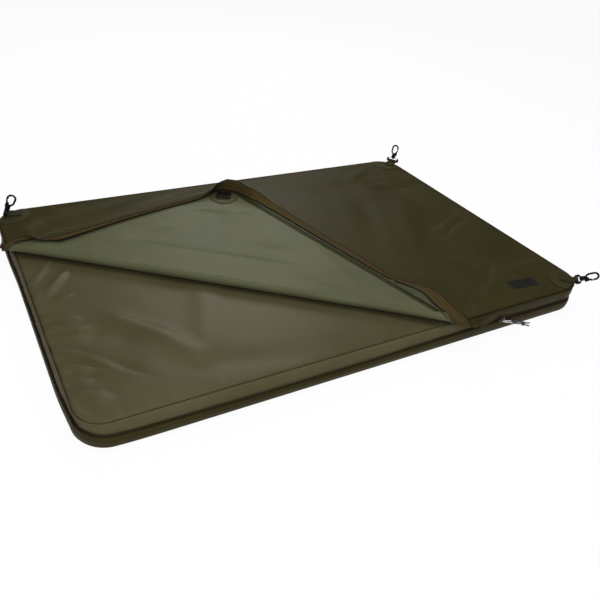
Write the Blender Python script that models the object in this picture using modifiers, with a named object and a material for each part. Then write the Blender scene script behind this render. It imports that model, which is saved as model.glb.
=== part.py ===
"""Unhooking mat: a foam pad in a low tray, under a zipped cover whose front-left corner is folded back.

Units are metres and +Z is up. The origin is the centre of the underside. The length runs along X,
and the front, where the slider is, faces -Y.
"""

import math

import bmesh
import bpy
from mathutils import Matrix, Vector

# Plan of the mat
MAT_LENGTH = 1.100
MAT_WIDTH = 0.750
CORNER_RADIUS = 0.060
CORNER_HALF_STEPS = 5  # steps in half of a rounded corner

# Clearances
GAP = 0.0003
CUT_OVERRUN = 0.002

# Fabric and tray
FABRIC_THICK = 0.0012
TRAY_HEIGHT = 0.022
TRAY_EDGE_RADIUS = 0.006

# Zip
TAPE_THICK = 0.0008
TAPE_GAP = 0.0007
TAPE_HIDDEN = 0.008
BASE_TAPE_SHOW = 0.0037
COVER_TAPE_SHOW = 0.008
COIL_RADIUS = 0.0013
COIL_SPACING = 0.0014
STOP_LENGTH = 0.004
STOP_DEPTH = 0.0032

# Pad
PAD_INSET = 0.006
PAD_SEAM_INSET = 0.012
PAD_HEIGHT = 0.049
PAD_CROWN = 0.004
PAD_SHOULDER = 0.006
PAD_COVER_THICK = 0.001
PAD_LINES = 9  # grid steps between the rounded corners

# Cover
COVER_EASE = 0.0045  # room between the pad's crown and the cover
COVER_THICK = 0.0025
COVER_LINES = 9
COVER_SAG_SHARE = 0.75
COVER_SAG_SPACING = 0.240
COVER_FLAT_RIM = 0.065
CORNER_BILLOW = 0.006
BINDING_WIDTH = 0.005
BINDING_THICK = 0.001

# Fold across the front-left corner: where its visible edge meets the left side and the front
FOLD_WIDTH_SHARE = 0.748
FOLD_LENGTH_SHARE = 0.6473
ROLL_RADIUS = 0.00775
ROLL_STEPS = 8
FOLD_DIP = math.radians(0.35)

# Skirt of the cover: where it stands upright, lies flat or splays
UPRIGHT_RUN = 0.032
FOLD_IN_RUN = 0.050
TURN_LEAD = 0.060
TWIST_STEP = math.radians(5)
FLAT_OUT = math.radians(90)
FOLDED_IN = math.radians(-80)
SPLAY_NEAR_TIP = math.radians(35)
SPLAY_MIDDLE = math.radians(58)

# Slider and puller
SLIDER_FROM_END = 0.243
SLIDER_LENGTH = 0.015
SLIDER_HALF_HEIGHT = 0.0065
SLIDER_PLATE = 0.0017
SLIDER_FLANGE = 0.0012
BRIDGE_WIRE = 0.0009
BRIDGE_HALF_HEIGHT = 0.0034
BRIDGE_REACH = 0.0042
PULL_ANGLE = math.radians(-35.6)
PULL_WIRE = 0.0008
PULL_HALF_WIDTH = 0.0028
PULL_LENGTH = 0.0165
CORD_RADIUS = 0.0012
CORD_LEG_LENGTH = 0.021
KNOT_RADIUS = 0.0036
KNOT_TAIL = 0.009

# Corner hooks: webbing loop, base, hook and gate
WEBBING_WIDTH = 0.025
WEBBING_THICK = 0.0016
TAB_TAIL = 0.034
TAB_REACH = 0.006
TAB_SET_BACK = 0.010
BAR_RADIUS = 0.00225
BAR_CLEARANCE = 0.00035
BASE_WIDTH = 0.035
BASE_ARM = 0.0043
BASE_SLOT_LENGTH = 0.009
BASE_SHOULDER = 0.0102
COLLAR_RADIUS = 0.0055
COLLAR_LENGTH = 0.0055
STEM_RADIUS = 0.0026
STEM_CLEARANCE = 0.0003
STEM_HEAD_RADIUS = 0.004
STEM_HEAD_THICK = 0.0024
HOOK_FLANGE_RADIUS = 0.005
HOOK_FLANGE_LENGTH = 0.0034
HOOK_HALF_WIDTH = 0.008
HOOK_WIRE = 0.0023
HOOK_STRAIGHT = 0.0105
HOOK_NECK = 0.0085
HOOK_TIP = 0.0036
GATE_HALF_WIDTH = 0.0017
GATE_THICK = 0.003
GATE_SIDE_CLEARANCE = 0.0003
GATE_END_CLEARANCE = 0.001
GATE_PIN_RADIUS = 0.0007
GATE_BORE_RADIUS = 0.001
GATE_EAR_RADIUS = 0.0032
GATE_EAR_WIDTH = 0.0078
GATE_PIVOT_ALONG = 0.0042
GATE_PIVOT_SIDE = 0.0046

# Corner patches, and the strap end seen on the folded corner
PATCH_INSET = 0.003
PATCH_DEPTH = 0.036
PATCH_THICK = 0.001
INNER_PATCH_INSET = 0.008
INNER_PATCH_DEPTH = 0.044
STRAP_LENGTH = 0.040
FRAME_LENGTH = 0.030
FRAME_RIM = 0.005
FRAME_THICK = 0.0025
FRAME_FROM_ARC_CENTRE = 0.026

# Label, left bare
LABEL_LENGTH = 0.070
LABEL_WIDTH = 0.030
LABEL_THICK = 0.0008
LABEL_FROM_END = 0.136
LABEL_FROM_FRONT = 0.058
LABEL_TURN = math.radians(-6)

# Each hook: its corner's signs in X and Y, how far its bar stands outside the rim and on which side of the
# diagonal, then its azimuth and elevation and the roll of its snap hook; angles are in degrees
HOOKS = {
    "a": ((-1, -1), TAB_REACH, 0, 225, -25, 90),
    "b": ((1, -1), TAB_REACH / 2, 0, -45, 28, 180),
    "c": ((1, 1), TAB_REACH, -13, 32, 76, 90),
    "d": ((-1, 1), TAB_REACH - TAB_SET_BACK, 0, 165, 118, 180),
}

# Heights and lines that follow from the sizes above
HALF_LENGTH = MAT_LENGTH / 2
HALF_WIDTH = MAT_WIDTH / 2
CORE_X = HALF_LENGTH - CORNER_RADIUS
CORE_Y = HALF_WIDTH - CORNER_RADIUS
SIDE_RUN = 2 * CORE_Y
FRONT_RUN = 2 * CORE_X
CORNER_RUN = math.pi / 2 * CORNER_RADIUS
PERIMETER = 2 * (SIDE_RUN + FRONT_RUN) + 4 * CORNER_RUN
TAPE_INSET = FABRIC_THICK + TAPE_GAP + TAPE_THICK / 2
BASE_TAPE_TOP = TRAY_HEIGHT + BASE_TAPE_SHOW
BASE_COIL_Z = BASE_TAPE_TOP + GAP + COIL_RADIUS
CHAIN_Z = BASE_COIL_Z + COIL_RADIUS + COIL_SPACING / 2
COVER_COIL_Z = CHAIN_Z + COIL_SPACING / 2 + COIL_RADIUS
COVER_UNDER = PAD_HEIGHT + PAD_CROWN + COVER_EASE
COVER_MID = COVER_UNDER + COVER_THICK / 2
COVER_TOP = COVER_UNDER + COVER_THICK
SEAM_Z = COVER_UNDER - GAP - FABRIC_THICK / 2
TAPE_END = SEAM_Z - (COVER_COIL_Z + COIL_RADIUS + GAP)
SKIRT_DROP = TAPE_END - COVER_TAPE_SHOW
TAPE_START = SKIRT_DROP - TAPE_HIDDEN
COIL_DROP = SEAM_Z - COVER_COIL_Z
TAPE_LIFT = FABRIC_THICK / 2 + TAPE_GAP + TAPE_THICK / 2
LOOP_INNER = BAR_RADIUS + BAR_CLEARANCE
LOOP_OUTER = LOOP_INNER + WEBBING_THICK
PATCH_BOTTOM = COVER_TOP + GAP
TAB_BOTTOM = PATCH_BOTTOM + PATCH_THICK + GAP

# The fold, in distances from the front-left corner along the fold's normal
FOLD_ON_LEFT = MAT_WIDTH * FOLD_WIDTH_SHARE
FOLD_ON_FRONT = MAT_LENGTH * FOLD_LENGTH_SHARE
FOLD_SPAN = math.hypot(FOLD_ON_LEFT, FOLD_ON_FRONT)
FOLD_NORMAL = Vector((FOLD_ON_LEFT, FOLD_ON_FRONT, 0)) / FOLD_SPAN
FOLD_LINE = Vector((FOLD_NORMAL.y, -FOLD_NORMAL.x, 0))
FRONT_LEFT = Vector((-HALF_LENGTH, -HALF_WIDTH, 0))
FOLD_EDGE = FOLD_ON_LEFT * FOLD_ON_FRONT / FOLD_SPAN
ROLL_AXIS = FOLD_EDGE + ROLL_RADIUS + COVER_THICK / 2
CORNER_EDGE = ROLL_AXIS - math.pi * ROLL_RADIUS
HINGE_LINE = (ROLL_AXIS + CORNER_EDGE) / 2
ROLL_Z = COVER_MID + ROLL_RADIUS


def along_left(distance):
    """Outline length at which the line this far from the front-left corner crosses the left side."""
    return MAT_WIDTH - CORNER_RADIUS - distance / FOLD_NORMAL.y


def along_front(distance):
    """Outline length at which the line this far from the front-left corner crosses the front."""
    return SIDE_RUN + CORNER_RUN + distance / FOLD_NORMAL.x - CORNER_RADIUS


ZIP_START = STOP_LENGTH + 2 * GAP
ZIP_END = 2 * SIDE_RUN + FRONT_RUN + 2 * CORNER_RUN - ZIP_START
BACK_START = 2 * SIDE_RUN + FRONT_RUN + 2 * CORNER_RUN + GAP
BACK_END = PERIMETER - GAP
LEFT_ROLL = along_left(ROLL_AXIS)
LEFT_CORNER = along_left(CORNER_EDGE)
FRONT_CORNER = along_front(CORNER_EDGE)
FRONT_ROLL = along_front(ROLL_AXIS)
SLIDER_X = HALF_LENGTH - SLIDER_FROM_END
SLIDER_RUN = SIDE_RUN + CORNER_RUN + SLIDER_X + CORE_X
FLARES = (
    (UPRIGHT_RUN, 0),
    (LEFT_ROLL, FLAT_OUT),
    (LEFT_CORNER, FLAT_OUT),
    (LEFT_CORNER + FOLD_IN_RUN, FOLDED_IN),
    (SIDE_RUN - TURN_LEAD, FOLDED_IN),
    (SIDE_RUN + CORNER_RUN, SPLAY_NEAR_TIP),
    ((SIDE_RUN + CORNER_RUN + FRONT_CORNER) / 2, SPLAY_MIDDLE),
    (FRONT_CORNER, FLAT_OUT),
    (FRONT_ROLL, FLAT_OUT),
    (SLIDER_RUN - SLIDER_LENGTH, 0),
)

# Colours, in linear light, with roughness and metallic
MATERIALS = {
    "outer_fabric": ((0.050, 0.043, 0.026), 0.55, 0),
    "pad_fabric": ((0.070, 0.060, 0.036), 0.45, 0),
    "coated_fabric": ((0.125, 0.135, 0.090), 0.50, 0),
    "zip_tape": ((0.060, 0.040, 0.020), 0.75, 0),
    "dark_tape": ((0.012, 0.011, 0.009), 0.80, 0),
    "webbing": ((0.070, 0.066, 0.030), 0.80, 0),
    "black_plastic": ((0.010, 0.010, 0.011), 0.38, 0),
    "bright_wire": ((0.620, 0.620, 0.600), 0.28, 1),
    "black_cord": ((0.012, 0.012, 0.012), 0.70, 0),
    "foam": ((0.080, 0.080, 0.080), 0.95, 0),
}


def clear_scene():
    """Remove every object of the open scene."""
    for obj in list(bpy.data.objects):
        bpy.data.objects.remove(obj, do_unlink=True)


def new_collection(name):
    """A collection of this name in the scene."""
    group = bpy.data.collections.new(name)
    bpy.context.scene.collection.children.link(group)
    return group


def new_material(name):
    """The Principled material of this name in the table above."""
    colour, roughness, metallic = MATERIALS[name]
    material = bpy.data.materials.new(name)
    material.use_nodes = True
    shader = material.node_tree.nodes["Principled BSDF"]
    shader.inputs["Base Color"].default_value = (*colour, 1)
    shader.inputs["Roughness"].default_value = roughness
    shader.inputs["Metallic"].default_value = metallic
    material.diffuse_color = (*colour, 1)
    return material


def material_named(name):
    """The material of this name, made at its first use."""
    return bpy.data.materials.get(name) or new_material(name)


def loose(name, data, matrix=None):
    """An object of this data in the scene, for shaping."""
    obj = bpy.data.objects.new(name, data)
    bpy.context.scene.collection.objects.link(obj)
    if matrix:
        obj.matrix_world = matrix
    return obj


def baked(obj):
    """The mesh of an object as its modifiers leave it, with its caps welded; the object goes."""
    bpy.context.view_layer.update()
    graph = bpy.context.evaluated_depsgraph_get()
    mesh = bpy.data.meshes.new_from_object(obj.evaluated_get(graph))
    mesh.transform(obj.matrix_world)
    bm = bmesh.new()
    bm.from_mesh(mesh)
    bmesh.ops.remove_doubles(bm, verts=bm.verts, dist=GAP / 100)
    bmesh.ops.recalc_face_normals(bm, faces=bm.faces)
    bm.to_mesh(mesh)
    bm.free()
    bpy.data.objects.remove(obj, do_unlink=True)
    return mesh


def combined(first, second, operation):
    """One mesh from two by a Boolean."""
    obj = loose("shape", first)
    other = loose("tool", second)
    boolean = obj.modifiers.new("Boolean", "BOOLEAN")
    boolean.operation = operation
    boolean.object = other
    mesh = baked(obj)
    bpy.data.objects.remove(other, do_unlink=True)
    return mesh


def union(*meshes):
    """All the meshes as one solid."""
    whole = meshes[0]
    for mesh in meshes[1:]:
        whole = combined(whole, mesh, "UNION")
    return whole


def place(name, mesh, material, parent=None, matrix=None, crease=40):
    """A named part of the mat, shaded smooth between edges sharper than the crease angle."""
    mesh.materials.clear()
    mesh.materials.append(material_named(material))
    mesh.shade_smooth()
    mesh.set_sharp_from_angle(angle=math.radians(crease))
    obj = bpy.data.objects.new(name, mesh)
    bpy.data.collections["unhooking_mat"].objects.link(obj)
    obj.parent = parent
    if matrix:
        obj.matrix_local = matrix
    return obj


def place_curve(name, curve, material, parent=None, matrix=None):
    """A named part of the mat made of a curve."""
    curve.materials.append(material_named(material))
    obj = bpy.data.objects.new(name, curve)
    bpy.data.collections["unhooking_mat"].objects.link(obj)
    obj.parent = parent
    if matrix:
        obj.matrix_local = matrix
    return obj


def pivot(name, matrix, parent=None):
    """An empty on a joint's axis."""
    empty = bpy.data.objects.new(name, None)
    bpy.data.collections["unhooking_mat"].objects.link(empty)
    empty.parent = parent
    empty.matrix_local = matrix
    empty.empty_display_size = CORNER_RADIUS
    return empty


def rail(points, radius, closed=False):
    """A round wire or cord through the points."""
    curve = bpy.data.curves.new("rail", "CURVE")
    curve.dimensions = "3D"
    curve.bevel_depth = radius
    curve.bevel_resolution = 2
    curve.use_fill_caps = True
    spline = curve.splines.new("POLY")
    spline.points.add(len(points) - 1)
    for spot, point in zip(spline.points, points):
        spot.co = (*point, 1)
    spline.use_cyclic_u = closed
    return curve


def plate(loops, thickness):
    """A flat plate from closed outlines in XY, the later ones being holes, centred on its plane."""
    curve = bpy.data.curves.new("plate", "CURVE")
    curve.dimensions = "2D"
    curve.fill_mode = "BOTH"
    curve.extrude = thickness / 2
    for points in loops:
        spline = curve.splines.new("POLY")
        spline.points.add(len(points) - 1)
        for spot, (x, y) in zip(spline.points, points):
            spot.co = (x, y, 0, 1)
        spline.use_cyclic_u = True
    return baked(loose("plate", curve))


def box(low, high):
    """A box between two corners."""
    low, high = Vector(low), Vector(high)
    size = high - low
    bm = bmesh.new()
    matrix = Matrix.Translation((low + high) / 2) @ Matrix.Diagonal((*size, 1))
    bmesh.ops.create_cube(bm, size=1, matrix=matrix)
    mesh = bpy.data.meshes.new("box")
    bm.to_mesh(mesh)
    bm.free()
    return mesh


def cylinder(radius, start, end, segments=16):
    """A cylinder between two points on its axis."""
    start, end = Vector(start), Vector(end)
    axis = end - start
    turn = axis.to_track_quat("Z", "Y").to_matrix().to_4x4()
    bm = bmesh.new()
    bmesh.ops.create_cone(
        bm,
        cap_ends=True,
        segments=segments,
        radius1=radius,
        radius2=radius,
        depth=axis.length,
        matrix=Matrix.Translation((start + end) / 2) @ turn,
    )
    mesh = bpy.data.meshes.new("cylinder")
    bm.to_mesh(mesh)
    bm.free()
    return mesh


def arc(centre, radius, start, end, steps):
    """Points round a centre, from one angle in degrees to another."""
    spots = []
    for step in range(steps + 1):
        angle = math.radians(start + (end - start) * step / steps)
        spots.append((centre[0] + radius * math.cos(angle), centre[1] + radius * math.sin(angle)))
    return spots


def rim(run):
    """The outline's point and outward direction, this far anticlockwise from the back of the left side."""
    left = run % PERIMETER
    for side in range(4):
        out = Matrix.Rotation(side * math.pi / 2, 3, "Z") @ Vector((-1, 0, 0))
        ahead = Matrix.Rotation(math.pi / 2, 3, "Z") @ out
        straight = (SIDE_RUN, FRONT_RUN)[side % 2]
        way = out + ahead
        centre = Vector((way.x * CORE_X, way.y * CORE_Y, 0))
        if left <= straight:
            return centre - ahead * (straight - left) + out * CORNER_RADIUS, out
        left -= straight
        if left <= CORNER_RUN:
            angle = left / CORNER_RADIUS
            facing = out * math.cos(angle) + ahead * math.sin(angle)
            return centre + facing * CORNER_RADIUS, facing
        left -= CORNER_RUN
    return rim(0)


def stations(start, end):
    """Outline lengths from start to end, with every step of the rounded corners between."""
    marks = [start]
    first = 0
    for side in range(8):
        straight = (SIDE_RUN, FRONT_RUN)[side % 2]
        marks.append(first)
        for step in range(2 * CORNER_HALF_STEPS + 1):
            marks.append(first + straight + CORNER_RUN * step / (2 * CORNER_HALF_STEPS))
        first += straight + CORNER_RUN
    found = [start]
    for mark in sorted(marks):
        if found[-1] + GAP < mark < end - GAP:
            found.append(mark)
    return [*found, end]


def outline(inset):
    """The mat's outline, moved in by the inset, as points in XY."""
    spots = []
    for run in stations(0, PERIMETER)[:-1]:
        point, out = rim(run)
        spot = point - out * inset
        spots.append((spot.x, spot.y))
    return spots


def moved_out(point, inset):
    """The point of the outline at this inset that lies beside a point of it at another."""
    core = Vector((min(max(point.x, -CORE_X), CORE_X), min(max(point.y, -CORE_Y), CORE_Y), 0))
    out = Vector((point.x, point.y, 0)) - core
    return core + out.normalized() * (CORNER_RADIUS - inset)


def surface(rows, thickness, closed=False):
    """A sheet lofted through rows of points and thickened evenly to both sides."""
    bm = bmesh.new()
    lines = [[bm.verts.new(point) for point in row] for row in rows]
    pairs = list(zip(lines, lines[1:]))
    if closed:
        pairs.append((lines[-1], lines[0]))
    for one, two in pairs:
        for step in range(len(one) - 1):
            bm.faces.new((one[step], one[step + 1], two[step + 1], two[step]))
    mesh = bpy.data.meshes.new("surface")
    bm.to_mesh(mesh)
    bm.free()
    return thickened(mesh, thickness, 0)


def thickened(mesh, thickness, offset):
    """An open sheet made a closed shell."""
    obj = loose("sheet", mesh)
    solidify = obj.modifiers.new("Solidify", "SOLIDIFY")
    solidify.thickness = thickness
    solidify.offset = offset
    solidify.use_even_offset = True
    return baked(obj)


def band(runs, low, high, inset, thickness, closed=False):
    """An upright band that follows the outline through these lengths of it."""
    rows = []
    for run in runs:
        point, out = rim(run)
        foot = point - out * inset
        rows.append([foot + Vector((0, 0, low)), foot + Vector((0, 0, high))])
    return surface(rows, thickness, closed)


def line_on_rim(start, end, inset, height):
    """Points along the outline at one inset and height."""
    spots = []
    for run in stations(start, end):
        point, out = rim(run)
        spots.append(point - out * inset + Vector((0, 0, height)))
    return spots


def grid_lines(core, inset, middle_steps):
    """Places of grid lines across the mat: close together in the rounded corners, even between them."""
    corner = CORNER_RADIUS - inset
    shares = [
        math.sqrt(2) * math.sin(math.pi / 4 * step / CORNER_HALF_STEPS)
        for step in range(CORNER_HALF_STEPS + 1)
    ]
    low = [-core - corner * share for share in reversed(shares)]
    middle = [-core + 2 * core * step / middle_steps for step in range(1, middle_steps)]
    return low + middle + [-place for place in reversed(low)]


def rounded_sheet(inset, middle_steps, height):
    """A sheet over the mat's plan, whose square corners are drawn into the rounded ones."""
    across = grid_lines(CORE_X, inset, middle_steps)
    deep = grid_lines(CORE_Y, inset, middle_steps)
    corner = CORNER_RADIUS - inset
    bm = bmesh.new()
    bmesh.ops.create_grid(bm, x_segments=len(across) - 1, y_segments=len(deep) - 1, size=1)
    for vert in bm.verts:
        x = across[round((vert.co.x + 1) / 2 * (len(across) - 1))]
        y = deep[round((vert.co.y + 1) / 2 * (len(deep) - 1))]
        over_x = max(abs(x) - CORE_X, 0) / corner
        over_y = max(abs(y) - CORE_Y, 0) / corner
        if over_x and over_y:
            x = math.copysign(CORE_X + corner * over_x * math.sqrt(1 - over_y**2 / 2), x)
            y = math.copysign(CORE_Y + corner * over_y * math.sqrt(1 - over_x**2 / 2), y)
        vert.co = (x, y, height(x, y))
    return bm


def extended(bm, steps):
    """The sheet's open edge carried on through (inset, height) steps."""
    edges = [edge for edge in bm.edges if edge.is_boundary]
    for inset, height in steps:
        grown = bmesh.ops.extrude_edge_only(bm, edges=edges)["geom"]
        edges = [item for item in grown if isinstance(item, bmesh.types.BMEdge)]
        for vert in {vert for edge in edges for vert in edge.verts}:
            vert.co = moved_out(vert.co, inset) + Vector((0, 0, height))
    return edges


def finished(bm):
    """The mesh of a bmesh, faces turned out."""
    bmesh.ops.recalc_face_normals(bm, faces=bm.faces)
    mesh = bpy.data.meshes.new("sheet")
    bm.to_mesh(mesh)
    bm.free()
    return mesh


def pad_height(x, y):
    """The crowned top of the pad."""
    along = 1 - (x / (HALF_LENGTH - PAD_SEAM_INSET)) ** 4
    over = 1 - (y / (HALF_WIDTH - PAD_SEAM_INSET)) ** 4
    return PAD_HEIGHT + PAD_CROWN * max(along, 0) * max(over, 0)


def foam_height(x, y):
    """The foam's top, under the pad's fabric."""
    return pad_height(x, y) - PAD_COVER_THICK - GAP


def tray():
    """The pan: bottom sheet, rounded lower edge and low wall."""
    wall = []
    for angle in (30, 60, 90):
        turn = math.radians(angle)
        wall.append((TRAY_EDGE_RADIUS * (1 - math.sin(turn)), TRAY_EDGE_RADIUS * (1 - math.cos(turn))))
    bm = bmesh.new()
    verts = [bm.verts.new((x, y, 0)) for x, y in outline(TRAY_EDGE_RADIUS)]
    bm.faces.new(verts)
    extended(bm, [*wall, (0, TRAY_HEIGHT)])
    mesh = finished(bm)
    return thickened(mesh, FABRIC_THICK, -1)


def foam():
    """The foam block, crowned on top."""
    bm = rounded_sheet(PAD_SEAM_INSET, PAD_LINES, foam_height)
    skin = PAD_COVER_THICK + GAP
    side = PAD_INSET + skin
    top = PAD_HEIGHT - PAD_SHOULDER - skin
    edges = extended(bm, [(side, top), (side, FABRIC_THICK + GAP)])
    bmesh.ops.holes_fill(bm, edges=edges)
    return finished(bm)


def pad_side():
    """The pad's upright side, all the way round."""
    runs = stations(0, PERIMETER)[:-1]
    top = PAD_HEIGHT - PAD_SHOULDER - GAP
    inset = PAD_INSET + PAD_COVER_THICK / 2
    return band(runs, FABRIC_THICK + GAP, top, inset, PAD_COVER_THICK, closed=True)


def pad_top():
    """The pad's crowned top panel, turned down at its seam."""
    bm = rounded_sheet(PAD_SEAM_INSET, PAD_LINES, pad_height)
    middle = (PAD_INSET + PAD_SEAM_INSET) / 2
    rim_z = PAD_HEIGHT - PAD_SHOULDER
    turned = PAD_HEIGHT - PAD_SHOULDER * 3 / 4
    bent = PAD_HEIGHT - PAD_SHOULDER / 4
    extended(bm, [(middle, bent), (PAD_INSET, turned), (PAD_INSET, rim_z)])
    return thickened(finished(bm), PAD_COVER_THICK, -1)


def fold_distance(point):
    """How far a point lies from the front-left corner, along the fold's normal."""
    return (point - FRONT_LEFT).dot(FOLD_NORMAL)


def looseness(x, y, line):
    """How free the cover is to rise here: not at all near its rim and the line across it."""
    inside = min(HALF_LENGTH - abs(x), HALF_WIDTH - abs(y))
    away = abs(fold_distance(Vector((x, y, 0))) - line)
    return eased(inside / COVER_FLAT_RIM - 1) * eased(away / COVER_FLAT_RIM - 1)


def cover_height(x, y):
    """The middle of the cover where it stays on the pad, with low hollows along the crease."""
    past_roll = fold_distance(Vector((x, y, 0))) - ROLL_AXIS
    hollow = (1 - math.cos(2 * math.pi * past_roll / COVER_SAG_SPACING)) / 2
    return COVER_MID - COVER_EASE * COVER_SAG_SHARE * hollow * looseness(x, y, ROLL_AXIS)


def corner_height(x, y):
    """The middle of the folded corner where it lies closed, billowing."""
    return COVER_MID + CORNER_BILLOW * looseness(x, y, CORNER_EDGE)


def divide(bm, distance, clear_outer, clear_inner):
    """A line across the sheet at this fold distance, with the sheet beyond or before it cleared."""
    bmesh.ops.bisect_plane(
        bm,
        geom=[*bm.verts, *bm.edges, *bm.faces],
        dist=GAP / 100,
        plane_co=FRONT_LEFT + FOLD_NORMAL * distance,
        plane_no=FOLD_NORMAL,
        clear_outer=clear_outer,
        clear_inner=clear_inner,
    )


def cover_part(height, distance, keep_inner):
    """The cover's panel on one side of the line at this fold distance."""
    bm = rounded_sheet(0, COVER_LINES, lambda x, y: 0)
    divide(bm, distance, keep_inner, not keep_inner)
    beside = -COVER_FLAT_RIM if keep_inner else COVER_FLAT_RIM
    divide(bm, distance + beside, False, False)
    for vert in bm.verts:
        vert.co.z = height(vert.co.x, vert.co.y)
    return thickened(finished(bm), COVER_THICK, 0)


def rolled(point):
    """Where a point of the cover's middle surface lies on the soft roll of the fold."""
    turn = (ROLL_AXIS - fold_distance(point)) / ROLL_RADIUS
    along = FOLD_LINE * (point - FRONT_LEFT).dot(FOLD_LINE)
    out = ROLL_AXIS - ROLL_RADIUS * math.sin(turn)
    height = ROLL_Z - ROLL_RADIUS * math.cos(turn)
    return FRONT_LEFT + along + FOLD_NORMAL * out + Vector((0, 0, height))


def left_edge(distance, reach):
    """The point at this fold distance and this far outside the left side."""
    x = -HALF_LENGTH - reach
    return Vector((x, -HALF_WIDTH + (distance + FOLD_NORMAL.x * reach) / FOLD_NORMAL.y, 0))


def front_edge(distance, reach):
    """The point at this fold distance and this far outside the front."""
    y = -HALF_WIDTH - reach
    return Vector((-HALF_LENGTH + (distance + FOLD_NORMAL.y * reach) / FOLD_NORMAL.x, y, 0))


def roll_distances():
    """Fold distances of the rows round the roll."""
    first = ROLL_AXIS - GAP
    last = CORNER_EDGE + GAP
    return [first + (last - first) * step / ROLL_STEPS for step in range(ROLL_STEPS + 1)]


def crease_roll():
    """The roll, which takes the flattened skirts and tapes round with it."""
    reach = TAPE_END - FABRIC_THICK / 2
    rows = []
    for distance in roll_distances():
        rows.append([rolled(left_edge(distance, reach)), rolled(front_edge(distance, reach))])
    return surface(rows, COVER_THICK)


def crease_coil(edge):
    """The zip coil's way round the roll, outside one edge."""
    reach = COIL_DROP - FABRIC_THICK / 2
    return rail([rolled(edge(distance, reach)) for distance in roll_distances()], COIL_RADIUS)


def eased(share):
    """A smooth step from 0 to 1."""
    share = min(max(share, 0), 1)
    return share * share * (3 - 2 * share)


def flare(run):
    """How far the skirt is turned outward from hanging straight down, here along the outline."""
    if run <= FLARES[0][0]:
        return FLARES[0][1]
    for (start, first), (end, last) in zip(FLARES, FLARES[1:]):
        if run <= end:
            return first + (last - first) * eased((run - start) / (end - start))
    return FLARES[-1][1]


def skirt_point(run, drop, lift):
    """A point on the cover's skirt: this far below the seam, and lifted inward off its middle surface."""
    point, out = rim(run)
    turn = flare(run)
    aside = -FABRIC_THICK / 2 + drop * math.sin(turn) - lift * math.cos(turn)
    height = SEAM_Z - drop * math.cos(turn) - lift * math.sin(turn)
    return point + out * aside + Vector((0, 0, height))


def skirt_stations(start, end):
    """Outline lengths along the skirt, closer together where it twists."""
    marks = stations(start, end)
    marks += [mark for mark, _ in FLARES if start + GAP < mark < end - GAP]
    marks.sort()
    found = [start]
    for mark in marks[1:]:
        last = found[-1]
        if mark - last < GAP:
            continue
        count = max(1, math.ceil(abs(flare(mark) - flare(last)) / TWIST_STEP))
        for step in range(1, count + 1):
            found.append(last + (mark - last) * step / count)
    return found


def skirt_strip(start, end, top, bottom, lift, thickness):
    """A strip of the skirt or of its tape."""
    rows = []
    for run in skirt_stations(start, end):
        rows.append([skirt_point(run, top, lift), skirt_point(run, bottom, lift)])
    return surface(rows, thickness)


def place_cover_edge(stretch, start, end, parent=None, matrix=None):
    """One stretch of the cover's skirt with its tape and coil."""
    skirt = skirt_strip(start, end, 0, SKIRT_DROP, 0, FABRIC_THICK)
    place(f"{stretch}_skirt", skirt, "outer_fabric", parent, matrix)
    tape_from = max(start, ZIP_START)
    tape_to = min(end, ZIP_END)
    tape = skirt_strip(tape_from, tape_to, TAPE_START, TAPE_END, TAPE_LIFT, TAPE_THICK)
    place(f"{stretch}_tape", tape, "zip_tape", parent, matrix)
    points = [skirt_point(run, COIL_DROP, TAPE_LIFT) for run in skirt_stations(tape_from, tape_to)]
    place_curve(f"{stretch}_coil", rail(points, COIL_RADIUS), "dark_tape", parent, matrix)


def binding():
    """The seam binding inside the folded corner's front edge."""
    rows = []
    inner = FABRIC_THICK + GAP
    for run in stations(SIDE_RUN + CORNER_RUN / 2, FRONT_CORNER - BINDING_WIDTH):
        point, out = rim(run)
        height = Vector((0, 0, COVER_UNDER - GAP - BINDING_THICK / 2))
        rows.append([point - out * inner + height, point - out * (inner + BINDING_WIDTH) + height])
    return surface(rows, BINDING_THICK)


def patch(inset, depth):
    """A reinforcing patch: the rounded corner outside, a half round inside; the diagonal is +X."""
    radius = CORNER_RADIUS - inset
    chord = radius * math.sin(math.pi / 4)
    steps = 2 * CORNER_HALF_STEPS
    outer = arc((0, 0), radius, -45, 45, steps)
    inner = []
    for step in range(1, steps):
        angle = math.pi * step / steps
        inner.append((chord - depth * math.sin(angle), chord * math.cos(angle)))
    return plate([outer + inner], PATCH_THICK)


def webbing_tab():
    """A webbing tail and the loop at its end, round the base's bar, which lies on the Y axis."""
    tail = 2 * WEBBING_THICK
    meet = math.degrees(math.asin((tail - LOOP_OUTER) / LOOP_OUTER))
    outer = arc((0, 0), LOOP_OUTER, -90, 180 - meet, 4 * CORNER_HALF_STEPS)
    profile = [(-TAB_TAIL, -LOOP_OUTER), *outer, (-TAB_TAIL, tail - LOOP_OUTER)]
    hole = arc((0, 0), LOOP_INNER, 0, 337.5, 15)
    mesh = plate([profile, hole], WEBBING_WIDTH)
    mesh.transform(Matrix.Rotation(math.pi / 2, 4, "X"))
    return mesh


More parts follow.
